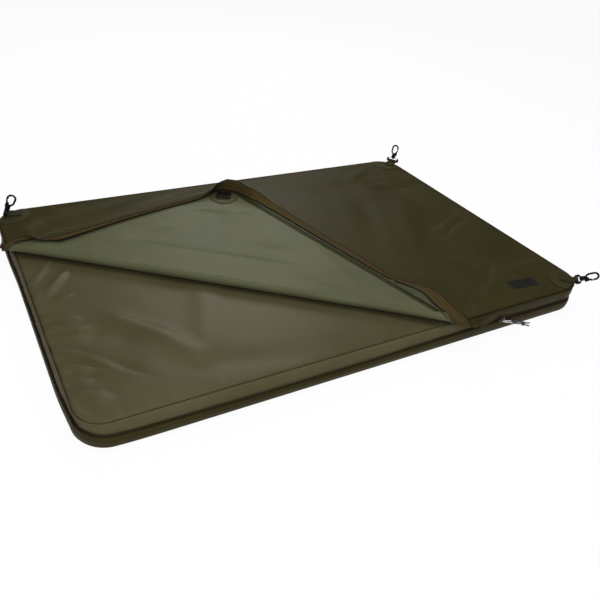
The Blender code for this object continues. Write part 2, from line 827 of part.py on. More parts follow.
def hook_base():
    """The swivel base: bar through the webbing, side arms, and the collar for the hook's stem."""
    half = BASE_WIDTH / 2
    slot_half = half - BASE_ARM
    bend = BASE_SLOT_LENGTH - BASE_ARM / 2
    profile = [
        (0, -half),
        (bend, -half),
        (BASE_SHOULDER, -COLLAR_RADIUS),
        (BASE_SHOULDER + BASE_ARM, -COLLAR_RADIUS),
        (BASE_SHOULDER + BASE_ARM, COLLAR_RADIUS),
        (BASE_SHOULDER, COLLAR_RADIUS),
        (bend, half),
        (0, half),
        (0, slot_half),
        (bend, slot_half),
        (BASE_SLOT_LENGTH, slot_half - BASE_ARM / 2),
        (BASE_SLOT_LENGTH, BASE_ARM / 2 - slot_half),
        (bend, -slot_half),
        (0, -slot_half),
    ]
    frame = plate([profile], 2 * BAR_RADIUS - GAP)
    bar = cylinder(BAR_RADIUS, (0, -half, 0), (0, half, 0))
    collar = cylinder(COLLAR_RADIUS, (BASE_SLOT_LENGTH, 0, 0), (BASE_SLOT_LENGTH + COLLAR_LENGTH, 0, 0))
    bore_start = BASE_SLOT_LENGTH - CUT_OVERRUN
    bore_end = BASE_SLOT_LENGTH + COLLAR_LENGTH + CUT_OVERRUN
    bore = cylinder(STEM_RADIUS + STEM_CLEARANCE, (bore_start, 0, 0), (bore_end, 0, 0))
    return combined(union(frame, bar, collar), bore, "DIFFERENCE")


def flange_start():
    """Where the hook's flange begins, just past the base's collar."""
    return BASE_SLOT_LENGTH + COLLAR_LENGTH + GAP


def gate_pivot():
    """The gate's pin, in the hook's XZ plane."""
    return flange_start() + HOOK_FLANGE_LENGTH + GATE_PIVOT_ALONG, GATE_PIVOT_SIDE


def hook_bend():
    """Where the hook's round end has its centre, along the hook."""
    return flange_start() + HOOK_FLANGE_LENGTH + HOOK_NECK + HOOK_STRAIGHT


def snap_hook():
    """The hook: headed stem, flange, the J-shaped bend and the ears that hold the gate."""
    head_end = BASE_SLOT_LENGTH - GAP
    head = cylinder(STEM_HEAD_RADIUS, (head_end - STEM_HEAD_THICK, 0, 0), (head_end, 0, 0))
    start = flange_start()
    end = start + HOOK_FLANGE_LENGTH
    stem_start = head_end - STEM_HEAD_THICK / 2
    stem = cylinder(STEM_RADIUS, (stem_start, 0, 0), (start + HOOK_FLANGE_LENGTH / 2, 0, 0))
    flange = cylinder(HOOK_FLANGE_RADIUS, (start, 0, 0), (end, 0, 0))
    bend = hook_bend()
    side = HOOK_HALF_WIDTH
    path = [
        (end - HOOK_WIRE, 0, 0),
        (end + HOOK_WIRE / 2, 0, -side / 4),
        (end + HOOK_NECK / 2, 0, -side * 3 / 4),
        (end + HOOK_NECK, 0, -side),
    ]
    path += [(x, 0, z) for x, z in arc((bend, 0), side, -90, 90, 2 * CORNER_HALF_STEPS)]
    path.append((bend - HOOK_TIP, 0, side))
    bent = baked(loose("bend", rail(path, HOOK_WIRE)))
    pin_x, pin_z = gate_pivot()
    ear_half = GATE_EAR_WIDTH / 2
    ear = cylinder(GATE_EAR_RADIUS, (pin_x, -ear_half, pin_z), (pin_x, ear_half, pin_z))
    web_low = (end - HOOK_WIRE, -ear_half, 0)
    web_high = (pin_x, ear_half, pin_z + GATE_EAR_RADIUS * math.cos(math.pi / 8))
    slot_half = GATE_THICK / 2 + GATE_SIDE_CLEARANCE
    reach = GATE_EAR_RADIUS + CUT_OVERRUN
    slot_low = (pin_x - GATE_EAR_RADIUS, -slot_half, pin_z - GATE_EAR_RADIUS)
    slot_high = (pin_x + reach, slot_half, pin_z + reach)
    body = union(bent, stem, head, flange, ear, box(web_low, web_high))
    body = combined(body, box(slot_low, slot_high), "DIFFERENCE")
    pin_half = ear_half - CUT_OVERRUN / 4
    pin = cylinder(GATE_PIN_RADIUS, (pin_x, -pin_half, pin_z), (pin_x, pin_half, pin_z), 8)
    return union(body, pin)


def snap_gate():
    """The sprung gate, from its pin on the Y axis to the hook's tip."""
    pin_x, pin_z = gate_pivot()
    tip_x = hook_bend() - HOOK_TIP - GATE_END_CLEARANCE - GATE_HALF_WIDTH
    run = Vector((tip_x - pin_x, HOOK_HALF_WIDTH - pin_z))
    turn = math.degrees(math.atan2(run.y, run.x))
    profile = arc((0, 0), GATE_HALF_WIDTH, turn + 90, turn + 270, CORNER_HALF_STEPS)
    profile += arc(run, GATE_HALF_WIDTH, turn - 90, turn + 90, CORNER_HALF_STEPS)
    hole = arc((0, 0), GATE_BORE_RADIUS, 0, 315, 7)
    mesh = plate([profile, hole], GATE_THICK)
    mesh.transform(Matrix.Rotation(math.pi / 2, 4, "X"))
    return mesh


def place_hooks(corner_fold):
    """Patches, webbing loops, bases, hooks and gates at the four corners of the cover."""
    patch_mesh = patch(PATCH_INSET, PATCH_DEPTH)
    tab_mesh = webbing_tab()
    base_mesh = hook_base()
    hook_mesh = snap_hook()
    gate_mesh = snap_gate()
    for letter, ((side_x, side_y), reach, aside, azimuth, elevation, roll) in HOOKS.items():
        parent = corner_fold if letter == "a" else None
        home = corner_fold.matrix_world.inverted() @ closed_to_rest() if parent else Matrix()
        arc_centre = Vector((side_x * CORE_X, side_y * CORE_Y, 0))
        facing = Matrix.Rotation(math.atan2(side_y, side_x), 4, "Z")
        out = Matrix.Rotation(math.radians(aside), 4, "Z") @ facing @ Vector((1, 0, 0))
        at_patch = Matrix.Translation(arc_centre + Vector((0, 0, PATCH_BOTTOM + PATCH_THICK / 2)))
        place(f"patch_{letter}", patch_mesh, "outer_fabric", parent, home @ at_patch @ facing)
        bar = arc_centre + out * (CORNER_RADIUS + reach) + Vector((0, 0, TAB_BOTTOM + LOOP_OUTER))
        turned = Matrix.Translation(bar) @ Matrix.Rotation(math.radians(azimuth), 4, "Z")
        place(f"webbing_{letter}", tab_mesh, "webbing", parent, home @ turned)
        raised = turned @ Matrix.Rotation(math.radians(-elevation), 4, "Y")
        base = place(f"hook_base_{letter}", base_mesh, "black_plastic", parent, home @ raised)
        rolled_over = Matrix.Rotation(math.radians(roll), 4, "X")
        hook = place(f"hook_{letter}", hook_mesh, "black_plastic", base, rolled_over)
        pin_x, pin_z = gate_pivot()
        place(f"gate_{letter}", gate_mesh, "black_plastic", hook, Matrix.Translation((pin_x, 0, pin_z)))


def closed_to_rest():
    """The turn that takes the closed corner of the cover to where it lies folded back."""
    hinge = hinge_point()
    turn = Matrix.Rotation(-math.pi - FOLD_DIP, 4, FOLD_LINE)
    return Matrix.Translation(hinge) @ turn @ Matrix.Translation(-hinge)


def hinge_point():
    """The middle of the line that the corner turns about."""
    middle = (left_edge(HINGE_LINE, 0) + front_edge(HINGE_LINE, 0)) / 2
    return middle + Vector((0, 0, ROLL_Z))


def place_corner(corner_fold):
    """The folded corner: panel, skirt, tape, coil, binding, inner patch, strap end and its frame."""
    home = corner_fold.matrix_world.inverted() @ closed_to_rest()
    panel = cover_part(corner_height, CORNER_EDGE, keep_inner=True)
    place("corner_panel", panel, "coated_fabric", corner_fold, home)
    place_cover_edge("corner", LEFT_CORNER, FRONT_CORNER, corner_fold, home)
    place("corner_binding", binding(), "outer_fabric", corner_fold, home)
    arc_centre = Vector((-CORE_X, -CORE_Y, 0))
    facing = Matrix.Rotation(math.atan2(-1, -1), 4, "Z")
    patch_z = COVER_UNDER - GAP - PATCH_THICK / 2
    inner = patch(INNER_PATCH_INSET, INNER_PATCH_DEPTH)
    at_inner = home @ Matrix.Translation(arc_centre + Vector((0, 0, patch_z))) @ facing
    place("inner_patch_a", inner, "outer_fabric", corner_fold, at_inner)
    strap_z = patch_z - PATCH_THICK / 2 - GAP - WEBBING_THICK / 2
    middle = FRAME_FROM_ARC_CENTRE
    half = Vector((STRAP_LENGTH / 2, WEBBING_WIDTH / 2, WEBBING_THICK / 2))
    strap = box(Vector((middle, 0, 0)) - half, Vector((middle, 0, 0)) + half)
    at_strap = home @ Matrix.Translation(arc_centre + Vector((0, 0, strap_z))) @ facing
    place("strap_end_a", strap, "webbing", corner_fold, at_strap)
    frame_z = strap_z - WEBBING_THICK / 2 - GAP - FRAME_THICK / 2
    at_frame = home @ Matrix.Translation(arc_centre + Vector((0, 0, frame_z))) @ facing
    place("strap_frame_a", strap_frame(middle), "black_plastic", corner_fold, at_frame)


def strap_frame(middle):
    """A flat frame with one cross bar, for webbing."""
    half_x = FRAME_LENGTH / 2
    half_y = BASE_WIDTH / 2
    bar = FRAME_RIM / 2
    outer = [(-half_x, -half_y), (half_x, -half_y), (half_x, half_y), (-half_x, half_y)]
    loops = [[(middle + x, y) for x, y in outer]]
    for low, high in ((FRAME_RIM - half_x, -bar), (bar, half_x - FRAME_RIM)):
        side = half_y - FRAME_RIM
        loops.append([(middle + x, y) for x, y in ((low, -side), (high, -side), (high, side), (low, side))])
    return plate(loops, FRAME_THICK)


def slider_body():
    """The slider: two plates with turned edges, the post between the coils, and the puller's bridge."""
    half = SLIDER_LENGTH / 2
    tall = SLIDER_HALF_HEIGHT
    narrow = tall - SLIDER_FLANGE
    lower = [(-half, -narrow), (-half / 2, -tall), (half, -tall)]
    profile = lower + [(x, -z) for x, z in reversed(lower)]
    upright = Matrix.Rotation(math.pi / 2, 4, "X")
    coil_front = TAPE_INSET - COIL_RADIUS - GAP
    coil_back = TAPE_INSET + COIL_RADIUS + GAP
    front = plate([profile], SLIDER_PLATE)
    front.transform(Matrix.Translation((0, coil_front - SLIDER_PLATE / 2, 0)) @ upright)
    back = plate([profile], SLIDER_PLATE)
    back.transform(Matrix.Translation((0, coil_back + SLIDER_PLATE / 2, 0)) @ upright)
    post_half = COIL_SPACING / 2 - GAP
    bite = SLIDER_PLATE / 2
    post = box((-half, coil_front - bite, -post_half), (-half / 4, coil_back + bite, post_half))
    shapes = [front, back, post]
    tape_front = TAPE_INSET - TAPE_THICK / 2 - GAP
    tape_back = TAPE_INSET + TAPE_THICK / 2 + GAP
    for way in (-1, 1):
        levels = sorted((way * tall, way * (tall - SLIDER_FLANGE)))
        shapes.append(box((-half / 2, coil_front - bite, levels[0]), (half, tape_front, levels[1])))
        shapes.append(box((-half / 2, tape_back, levels[0]), (half, coil_back + bite, levels[1])))
    outside = coil_front - SLIDER_PLATE
    away = outside - BRIDGE_REACH
    foot = outside + bite
    path = [
        (0, foot, -BRIDGE_HALF_HEIGHT),
        (0, away + BRIDGE_WIRE, -BRIDGE_HALF_HEIGHT),
        (0, away, BRIDGE_WIRE - BRIDGE_HALF_HEIGHT),
        (0, away, BRIDGE_HALF_HEIGHT - BRIDGE_WIRE),
        (0, away + BRIDGE_WIRE, BRIDGE_HALF_HEIGHT),
        (0, foot, BRIDGE_HALF_HEIGHT),
    ]
    shapes.append(baked(loose("bridge", rail(path, BRIDGE_WIRE))))
    return union(*shapes)


def place_slider():
    """The slider with its wire puller, cord and knot."""
    carriage = pivot("slider_carriage", Matrix.Translation((SLIDER_X, -HALF_WIDTH, CHAIN_Z)))
    place("slider", slider_body(), "black_plastic", carriage)
    bar = TAPE_INSET - COIL_RADIUS - GAP - SLIDER_PLATE - BRIDGE_REACH
    turn = Matrix.Translation((0, bar, 0)) @ Matrix.Rotation(PULL_ANGLE, 4, "Z")
    swing = pivot("puller_pivot", turn, carriage)
    half = PULL_HALF_WIDTH
    steps = 2 * CORNER_HALF_STEPS
    loop = arc((0, 0), half, 90, 270, steps) + arc((PULL_LENGTH, 0), half, -90, 90, steps)
    wire = rail([(x, y, 0) for x, y in loop], PULL_WIRE, closed=True)
    place_curve("pull_wire", wire, "bright_wire", swing)
    grip = PULL_LENGTH + half
    bend = PULL_WIRE + CORD_RADIUS + GAP
    knot = grip + CORD_LEG_LENGTH
    near = (CORD_RADIUS + GAP, knot - KNOT_RADIUS - GAP)
    legs = arc((grip, 0), bend, 90, 270, steps)
    path = [(near[1], 0, near[0])] + [(x, 0, z) for x, z in legs] + [(near[1], 0, -near[0])]
    place_curve("pull_cord", rail(path, CORD_RADIUS), "black_cord", swing)
    place("pull_knot", cord_knot(knot), "black_cord", swing)


def cord_knot(centre):
    """The cord's knot and its two cut tails."""
    bm = bmesh.new()
    at_knot = Matrix.Translation((centre, 0, 0))
    bmesh.ops.create_uvsphere(bm, u_segments=12, v_segments=8, radius=KNOT_RADIUS, matrix=at_knot)
    ball = bpy.data.meshes.new("knot")
    bm.to_mesh(ball)
    bm.free()
    shapes = [ball]
    for side in (-1, 1):
        spread = side * (CORD_RADIUS + GAP)
        path = [(centre, 0, spread), (centre + KNOT_RADIUS + KNOT_TAIL, 0, spread * 2)]
        shapes.append(baked(loose("tail", rail(path, CORD_RADIUS))))
    return union(*shapes)


def zip_stop():
    """A stop that clamps the two coils together, its length along X."""
    half = Vector((STOP_LENGTH / 2, STOP_DEPTH / 2, CHAIN_Z - BASE_TAPE_TOP - GAP))
    obj = loose("stop", box(-half, half))
    bevel = obj.modifiers.new("Bevel", "BEVEL")
    bevel.width = STOP_LENGTH / 8
    bevel.segments = 2
    return baked(obj)


def place_zip_and_walls():
    """The base's zip, the cover's fixed stretches, the back wall and the zip's stops."""
    zip_runs = stations(ZIP_START, ZIP_END)
    tape = band(zip_runs, TRAY_HEIGHT - TAPE_HIDDEN, BASE_TAPE_TOP, TAPE_INSET, TAPE_THICK)
    place("base_tape", tape, "dark_tape")
    coil = rail(line_on_rim(ZIP_START, ZIP_END, TAPE_INSET, BASE_COIL_Z), COIL_RADIUS)
    place_curve("base_coil", coil, "dark_tape")
    back_runs = stations(BACK_START, BACK_END)
    wall = band(back_runs, TRAY_HEIGHT + GAP, COVER_UNDER - GAP, FABRIC_THICK / 2, FABRIC_THICK)
    place("back_wall", wall, "outer_fabric")
    place_cover_edge("left", GAP, LEFT_ROLL)
    place_cover_edge("gape", FRONT_ROLL, SLIDER_RUN - SLIDER_LENGTH)
    place_cover_edge("right", SLIDER_RUN - SLIDER_LENGTH + GAP, BACK_START - 2 * GAP)
    for name, run in (("stop_left", ZIP_START / 2), ("stop_right", BACK_START - GAP - ZIP_START / 2)):
        point, out = rim(run)
        spot = point - out * TAPE_INSET + Vector((0, 0, CHAIN_Z))
        turn = Matrix.Rotation(math.pi / 2, 4, "Z")
        place(name, zip_stop(), "black_plastic", None, Matrix.Translation(spot) @ turn)


def build():
    """Model the whole mat."""
    clear_scene()
    new_collection("unhooking_mat")
    place("base_tray", tray(), "outer_fabric")
    place("foam_core", foam(), "foam")
    place("pad_side", pad_side(), "pad_fabric")
    place("pad_top", pad_top(), "pad_fabric")
    cover = cover_part(cover_height, ROLL_AXIS, keep_inner=False)
    place("cover_panel", cover, "outer_fabric")
    place_zip_and_walls()
    place("crease_roll", crease_roll(), "coated_fabric")
    place_curve("crease_coil_left", crease_coil(left_edge), "dark_tape")
    place_curve("crease_coil_front", crease_coil(front_edge), "dark_tape")
    hinge = Matrix.Translation(hinge_point()) @ Matrix.Rotation(-math.pi - FOLD_DIP, 4, FOLD_LINE)
    corner_fold = pivot("corner_fold_axis", hinge)
    bpy.context.view_layer.update()
    place_corner(corner_fold)
    place_hooks(corner_fold)
    place_slider()
    label = box((-LABEL_LENGTH / 2, -LABEL_WIDTH / 2, 0), (LABEL_LENGTH / 2, LABEL_WIDTH / 2, LABEL_THICK))
    label_at = Vector((HALF_LENGTH - LABEL_FROM_END, LABEL_FROM_FRONT - HALF_WIDTH, COVER_TOP + GAP))
    at_label = Matrix.Translation(label_at) @ Matrix.Rotation(LABEL_TURN, 4, "Z")
    place("label", label, "dark_tape", None, at_label)


build()
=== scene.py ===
"""Looks of the unhooking mat: cloth, seams, zip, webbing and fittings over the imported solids.

Everything is in metres and in the solids' own frame. The origin is the centre of the underside, the
length runs along X, the zipped front faces -Y and +Z is up.
"""

import logging
import math
from collections.abc import Callable, Iterable, Sequence
from dataclasses import dataclass
from enum import Enum
from typing import Any

import bmesh
import bpy
import numpy as np
from bmesh.types import BMesh
from bpy.types import Material, Mesh, Node, NodeSocket, NodeTree, Object
from mathutils import Matrix, Vector, noise


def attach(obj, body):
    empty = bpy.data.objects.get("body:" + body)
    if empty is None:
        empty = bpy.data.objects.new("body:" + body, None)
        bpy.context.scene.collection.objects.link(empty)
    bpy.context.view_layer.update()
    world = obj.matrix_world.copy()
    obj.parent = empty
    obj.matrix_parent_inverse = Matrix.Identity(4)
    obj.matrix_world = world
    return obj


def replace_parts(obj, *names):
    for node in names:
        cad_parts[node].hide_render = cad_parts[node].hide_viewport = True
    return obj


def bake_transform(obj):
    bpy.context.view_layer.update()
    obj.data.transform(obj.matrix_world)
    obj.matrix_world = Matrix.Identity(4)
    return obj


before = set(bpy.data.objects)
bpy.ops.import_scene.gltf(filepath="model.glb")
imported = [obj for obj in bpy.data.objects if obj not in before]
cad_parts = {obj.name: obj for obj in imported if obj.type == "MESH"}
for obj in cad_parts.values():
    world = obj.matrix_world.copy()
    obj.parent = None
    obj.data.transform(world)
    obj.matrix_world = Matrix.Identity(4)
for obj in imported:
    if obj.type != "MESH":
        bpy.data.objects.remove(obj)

LOG = logging.getLogger("unhooking_mat")
UP = Vector((0, 0, 1)).freeze()

Triple = tuple[float, float, float]
Section = list[tuple[float, float]]
Marks = tuple[tuple[float, float], ...]
Rows = list[list[Vector]]

# Rows of Creases
PAD_CREASES = (
    (-528, 61, -482, 131, 50, 34), (-512, 11, -462, 80, 85, 42), (-538, -9, -517, 37, 45, 30),
    (-497, -9, -469, -6, 55, 24), (-530, -57, -478, -84, 60, 36), (-532, -74, -502, -85, 45, -26),
    (-532, -91, -469, -121, 65, 36), (-530, -108, -479, -126, 45, -28),
    (-533, -127, -424, -262, 60, -38), (-532, -154, -458, -229, 115, 54),
    (-531, -181, -475, -230, 50, -36), (-529, -207, -493, -233, 70, 36),
    (-522, -224, -484, -250, 50, -32), (-523, -244, -499, -268, 60, 36),
    (-532, -253, -500, -281, 45, -30), (-520, -277, -485, -315, 100, 40),
    (-532, -304, -503, -334, 60, -26), (-423, -101, -355, -185, 200, 34),
    (-355, -185, -308, -290, 220, 36), (-225, -77, -294, -269, 300, 30),
    (-350, -280, -150, -330, 260, -22), (-470, -140, -400, -180, 200, -26),
)
COVER_CREASES = (
    (368, -281, 289, -332, 110, 30), (253, -320, 232, -355, 80, -22), (432, -256, 521, -263, 100, 28),
    (392, -354, 454, -342, 80, 24), (400, -230, 340, -290, 90, -22), (516, 23, 517, -38, 80, 30),
    (498, -49, 431, -57, 70, 22), (501, -6, 392, -55, 100, 26), (470, -30, 400, -75, 80, -20),
    (434, 269, 523, 218, 90, 30), (404, 211, 524, 186, 110, -28), (360, 290, 440, 330, 120, 18),
    (408, 123, 287, -117, 300, 22), (300, 140, 200, -80, 300, -18), (520, -33, 512, -260, 70, 16),
    (-440, 330, -300, 345, 100, 26), (-500, 300, -380, 330, 90, 30), (-502, 219, -500, 276, 80, 30),
    (-520, 270, -470, 300, 80, 32), (-300, 300, -130, 345, 120, 22), (-180, 300, -40, 340, 110, 20),
)
CORNER_CREASES = (
    (-500, 20, -120, -290, 60, -18), (-480, -231, -422, -303, 70, 24), (-422, -303, -410, -363, 70, 24),
    (50, -319, -135, -248, 140, 20), (-420, -140, -300, -250, 180, -16),
    (-470, -100, -400, -230, 120, -18), (-360, -180, -200, -300, 140, 14),
    (-520, -200, -470, -280, 90, -16), (-430, -300, -330, -330, 100, -16),
    (-200, -350, -60, -320, 100, -14),
)


# Shader maths


class Value:
    """A number that varies over a surface; arithmetic on it adds Math nodes."""

    def __init__(self, graph: "Graph", socket: NodeSocket) -> None:
        """Wrap the output socket that carries the number."""
        self.graph, self.socket = graph, socket

    def _maths(self, operation: str, *given: "Value | float") -> "Value":
        """The result of a Math node on the given values."""
        node = self.graph.node("ShaderNodeMath", {"operation": operation}, dict(enumerate(given)))
        return Value(self.graph, node.outputs[0])

    def __add__(self, other: "Value | float") -> "Value":
        """Sum."""
        return self._maths("ADD", self, other)

    def __sub__(self, other: "Value | float") -> "Value":
        """Difference."""
        return self._maths("SUBTRACT", self, other)

    def __rsub__(self, other: float) -> "Value":
        """Difference from a plain number."""
        return self._maths("SUBTRACT", other, self)

    def __mul__(self, other: "Value | float") -> "Value":
        """Product."""
        return self._maths("MULTIPLY", self, other)

    def __truediv__(self, other: "Value | float") -> "Value":
        """Quotient."""
        return self._maths("DIVIDE", self, other)

    def size(self) -> "Value":
        """Value without its sign."""
        return self._maths("ABSOLUTE", self)

    def part(self) -> "Value":
        """Fractional part."""
        return self._maths("FRACT", self)

    def most(self, other: "Value | float") -> "Value":
        """Larger of two."""
        return self._maths("MAXIMUM", self, other)

    def above(self, edge: float) -> "Value":
        """1 where the value is over the edge, else 0."""
        return self._maths("GREATER_THAN", self, edge)

    def wave(self, pitch: float) -> "Value":
        """Sine wave of this pitch, from -1 to 1."""
        return self._maths("SINE", self * (math.tau / pitch))

    def share(self) -> "Value":
        """A wave from -1 to 1 as a share from 0 to 1."""
        return self * 0.5 + 0.5

    def ramp(self, low: float, high: float) -> "Value":
        """Smooth step from 0 to 1.

        Args:
            low: Where the step starts.
            high: Where it ends.

        Returns:
            The eased value.
        """
        inputs = {"Value": self, "From Min": low, "From Max": high}
        node = self.graph.node("ShaderNodeMapRange", {"interpolation_type": "SMOOTHSTEP"}, inputs)
        return Value(self.graph, node.outputs[0])


class Coordinates(Enum):
    """Where a finish takes its pattern's place from."""

    CUT = "UV"
    SOLID = "Object"


class Tree:
    """A node tree."""

    def __init__(self, tree: NodeTree) -> None:
        """Wrap a node tree."""
        self.tree = tree

    def node(self, kind: str, settings: dict[str, Any] | None = None, inputs: dict | None = None) -> Node:
        """Add a node.

        Args:
            kind: The node's type.
            settings: Its own settings, set first.
            inputs: The values or links of its sockets.

        Returns:
            The node.
        """
        made = self.tree.nodes.new(kind)
        for key, value in (settings or {}).items():
            setattr(made, key, value)
        for key, value in (inputs or {}).items():
            self.feed(made.inputs[key], value)
        return made

    def feed(self, socket: NodeSocket, value: Any) -> None:
        """Give a socket a link or a value.

        Args:
            socket: The input to feed.
            value: A Value, a node, an output socket, or a plain value.
        """
        if isinstance(value, Value):
            value = value.socket
        elif isinstance(value, Node):
            value = value.outputs[0]
        if isinstance(value, NodeSocket):
            self.tree.links.new(value, socket)
        else:
            socket.default_value = value


class Graph(Tree):
    """The node tree of one finish."""

    def __init__(self, name: str, coordinates: Coordinates = Coordinates.CUT) -> None:
        """Start a material with a plain Principled shader.

        Args:
            name: The material's name.
            coordinates: Where patterns take their place from.
        """
        self.material = bpy.data.materials.new(name)
        self.material.use_nodes = True
        super().__init__(self.material.node_tree)
        self.shader = self.tree.nodes["Principled BSDF"]
        self.place = self.node("ShaderNodeTexCoord").outputs[coordinates.value]
        split = self.node("ShaderNodeSeparateXYZ", inputs={0: self.place})
        self.along, self.across, self.up = (Value(self, socket) for socket in split.outputs)

    def noise(
        self,
        scale: float,
        detail: float = 2.0,
        roughness: float = 0.5,
        distortion: float = 0.0,
        stretch: Triple = (1, 1, 1),
    ) -> Value:
        """Smooth random value from 0 to 1.

        Args:
            scale: Cycles per metre.
            detail: Octaves.
            roughness: Share of each finer octave.
            distortion: Swirl.
            stretch: Factor for each axis.

        Returns:
            The value.
        """
        place = self.node("ShaderNodeVectorMath", {"operation": "MULTIPLY"}, {0: self.place, 1: stretch})
        inputs = {
            "Vector": place,
            "Scale": scale,
            "Detail": detail,
            "Roughness": roughness,
            "Distortion": distortion,
        }
        return Value(self, self.node("ShaderNodeTexNoise", inputs=inputs).outputs[0])

    def blend(self, share: "Value | float", first: Any, second: Any) -> NodeSocket:
        """Mix two colours.

        Args:
            share: How much of the second.
            first: A colour or a socket.
            second: A colour or a socket.

        Returns:
            The mixed colour's socket.
        """
        ends = [(*end, 1) if isinstance(end, tuple) else end for end in (first, second)]
        inputs = {0: share, 6: ends[0], 7: ends[1]}
        return self.node("ShaderNodeMix", {"data_type": "RGBA"}, inputs).outputs[2]

    def bump(self, height: Value, strength: float, depth: float, under: Any = None) -> NodeSocket:
        """Turn a height into a normal.

        Args:
            height: The height, from 0 to 1.
            strength: The bump's strength.
            depth: The height of 1, in metres.
            under: A normal that this one adds to.

        Returns:
            The normal's socket.
        """
        inputs: dict[str, Any] = {"Height": height, "Strength": strength, "Distance": depth}
        if under is not None:
            inputs["Normal"] = under
        return self.node("ShaderNodeBump", inputs=inputs).outputs[0]

    def finish(
        self, colour: Any, roughness: Any, normal: Any = None, metallic: float = 0.0, specular: float = 0.5
    ) -> Material:
        """Feed the shader.

        Args:
            colour: The base colour.
            roughness: The roughness.
            normal: The normal, if the surface has relief.
            metallic: The metallic value.
            specular: The strength of its reflection.

        Returns:
            The material.
        """
        inputs = {
            "Base Color": colour,
            "Roughness": roughness,
            "Metallic": metallic,
            "Specular IOR Level": specular,
        }
        if normal is not None:
            inputs["Normal"] = normal
        for key, value in inputs.items():
            self.feed(self.shader.inputs[key], value)
        return self.material


def scaled(colour: Triple, factor: float) -> Triple:
    """A colour times a factor."""
    return tuple(part * factor for part in colour)


# Finishes


@dataclass(frozen=True)
class CoatedCloth:
    """Plain-woven nylon with a coating: fine weave, soft creases, a low sheen and a few scuffs."""

    name: str
    colour: Triple
    light: Triple
    pitch: float = 0.0009
    weave: float = 0.25
    crumple: float = 0.12
    gloss: float = 0.46
    specular: float = 0.22
    sheen: Triple = (1.0, 0.93, 0.60)

    def material(self) -> Material:
        """Build the finish.

        Returns:
            The material.
        """
        graph = Graph(self.name)
        threads = graph.along.wave(self.pitch) * graph.across.wave(self.pitch)
        cloudy = graph.noise(7.0, 4.0, 0.55)
        creases = graph.noise(26.0, 5.0, 0.62, 0.6, (1.0, 0.45, 1.0))
        fine = graph.noise(120.0, 3.0, 0.55, 0.3)
        scuffs = graph.noise(55.0, 6.0, 0.7, 1.4).ramp(0.62, 0.80)
        tone = cloudy.ramp(0.30, 0.72) * 0.65 + creases.ramp(0.35, 0.75) * 0.15 + scuffs * 0.20
        base = graph.blend(tone, self.colour, self.light)
        # Darker between the threads: painted shade in the weave's gaps.
        colour = graph.blend(threads.share().ramp(0.0, 0.55) * 0.8 + 0.2, scaled(self.colour, 0.72), base)
        rough = (cloudy - 0.5) * 0.14 + (fine - 0.5) * 0.08 + scuffs * 0.06 + self.gloss
        folds = graph.bump(1.0 - (creases * 2.0 - 1.0).size(), self.crumple, 0.0022)
        grain = graph.bump(fine, self.crumple, 0.0004, folds)
        normal = graph.bump(threads.share(), self.weave, 0.00008, grain)
        graph.shader.inputs["Specular Tint"].default_value = (*self.sheen, 1)
        return graph.finish(colour, rough, normal, specular=self.specular)


@dataclass(frozen=True)
class WovenTape:
    """Zip tape: a ribbed twill whose ribs run along it, with darker woven lines."""

    name: str
    colour: Triple
    line: Triple
    rib: float = 0.0009
    twill: float = 0.0013
    stripe: float = 0.0078

    def material(self) -> Material:
        """Build the finish.

        Returns:
            The material.
        """
        graph = Graph(self.name)
        ribs = graph.across.wave(self.rib).share()
        twill = (graph.along + graph.across * 1.6).wave(self.twill).share()
        stripe = graph.across.wave(self.stripe).ramp(0.2, 0.75)
        faded = graph.noise(18.0, 4.0, 0.6)
        base = graph.blend(faded.ramp(0.3, 0.75), self.colour, scaled(self.colour, 1.45))
        colour = graph.blend(stripe * 0.75, base, self.line)
        colour = graph.blend(ribs * 0.35 + twill * 0.2, scaled(self.colour, 0.45), colour)
        normal = graph.bump(ribs, 0.55, 0.00022, graph.bump(twill, 0.35, 0.00018))
        return graph.finish(colour, faded * 0.12 + 0.72, normal, specular=0.06)


@dataclass(frozen=True)
class Webbing:
    """Heavy woven webbing: a herringbone in two tones."""

    name: str
    colour: Triple
    light: Triple
    pick: float = 0.0016
    warp: float = 0.0011
    panel: float = 0.0050

    def material(self) -> Material:
        """Build the finish.

        Returns:
            The material.
        """
        graph = Graph(self.name)
        zigzag = ((graph.across / self.panel).part() - 0.5).size() * self.panel
        chevron = (graph.along + zigzag * 1.4).wave(self.pick).share()
        warp = graph.across.wave(self.warp).share()
        fuzz = graph.noise(420.0, 3.0, 0.6)
        worn = graph.noise(30.0, 3.0, 0.6)
        tone = chevron * 0.55 + warp * 0.15 + (fuzz - 0.5) * 0.4 + worn * 0.25
        colour = graph.blend(tone.ramp(0.15, 0.95), self.colour, self.light)
        under = graph.bump(warp, 0.5, 0.00025, graph.bump(fuzz, 0.3, 0.0003))
        normal = graph.bump(chevron, 0.8, 0.00045, under)
        return graph.finish(colour, fuzz * 0.15 + 0.70, normal, specular=0.2)


@dataclass(frozen=True)
class MouldedPlastic:
    """Black moulded plastic with a fine grain, flow marks and rubbed spots."""

    name: str
    colour: Triple
    rubbed: Triple
    gloss: float = 0.48
    specular: float = 0.10

    def material(self) -> Material:
        """Build the finish.

        Returns:
            The material.
        """
        graph = Graph(self.name, Coordinates.SOLID)
        grain = graph.noise(2600.0, 2.0, 0.6)
        flow = graph.noise(160.0, 3.0, 0.5, 0.8, (1.0, 1.0, 0.3))
        rub = graph.noise(700.0, 6.0, 0.75, 1.0).ramp(0.60, 0.78)
        colour = graph.blend(rub * 0.55 + flow.ramp(0.5, 0.8) * 0.2, self.colour, self.rubbed)
        rough = flow * 0.14 + rub * 0.18 + (self.gloss - 0.07)
        normal = graph.bump(grain, 0.22, 0.00006, graph.bump(flow, 0.15, 0.0004))
        return graph.finish(colour, rough, normal, specular=self.specular)


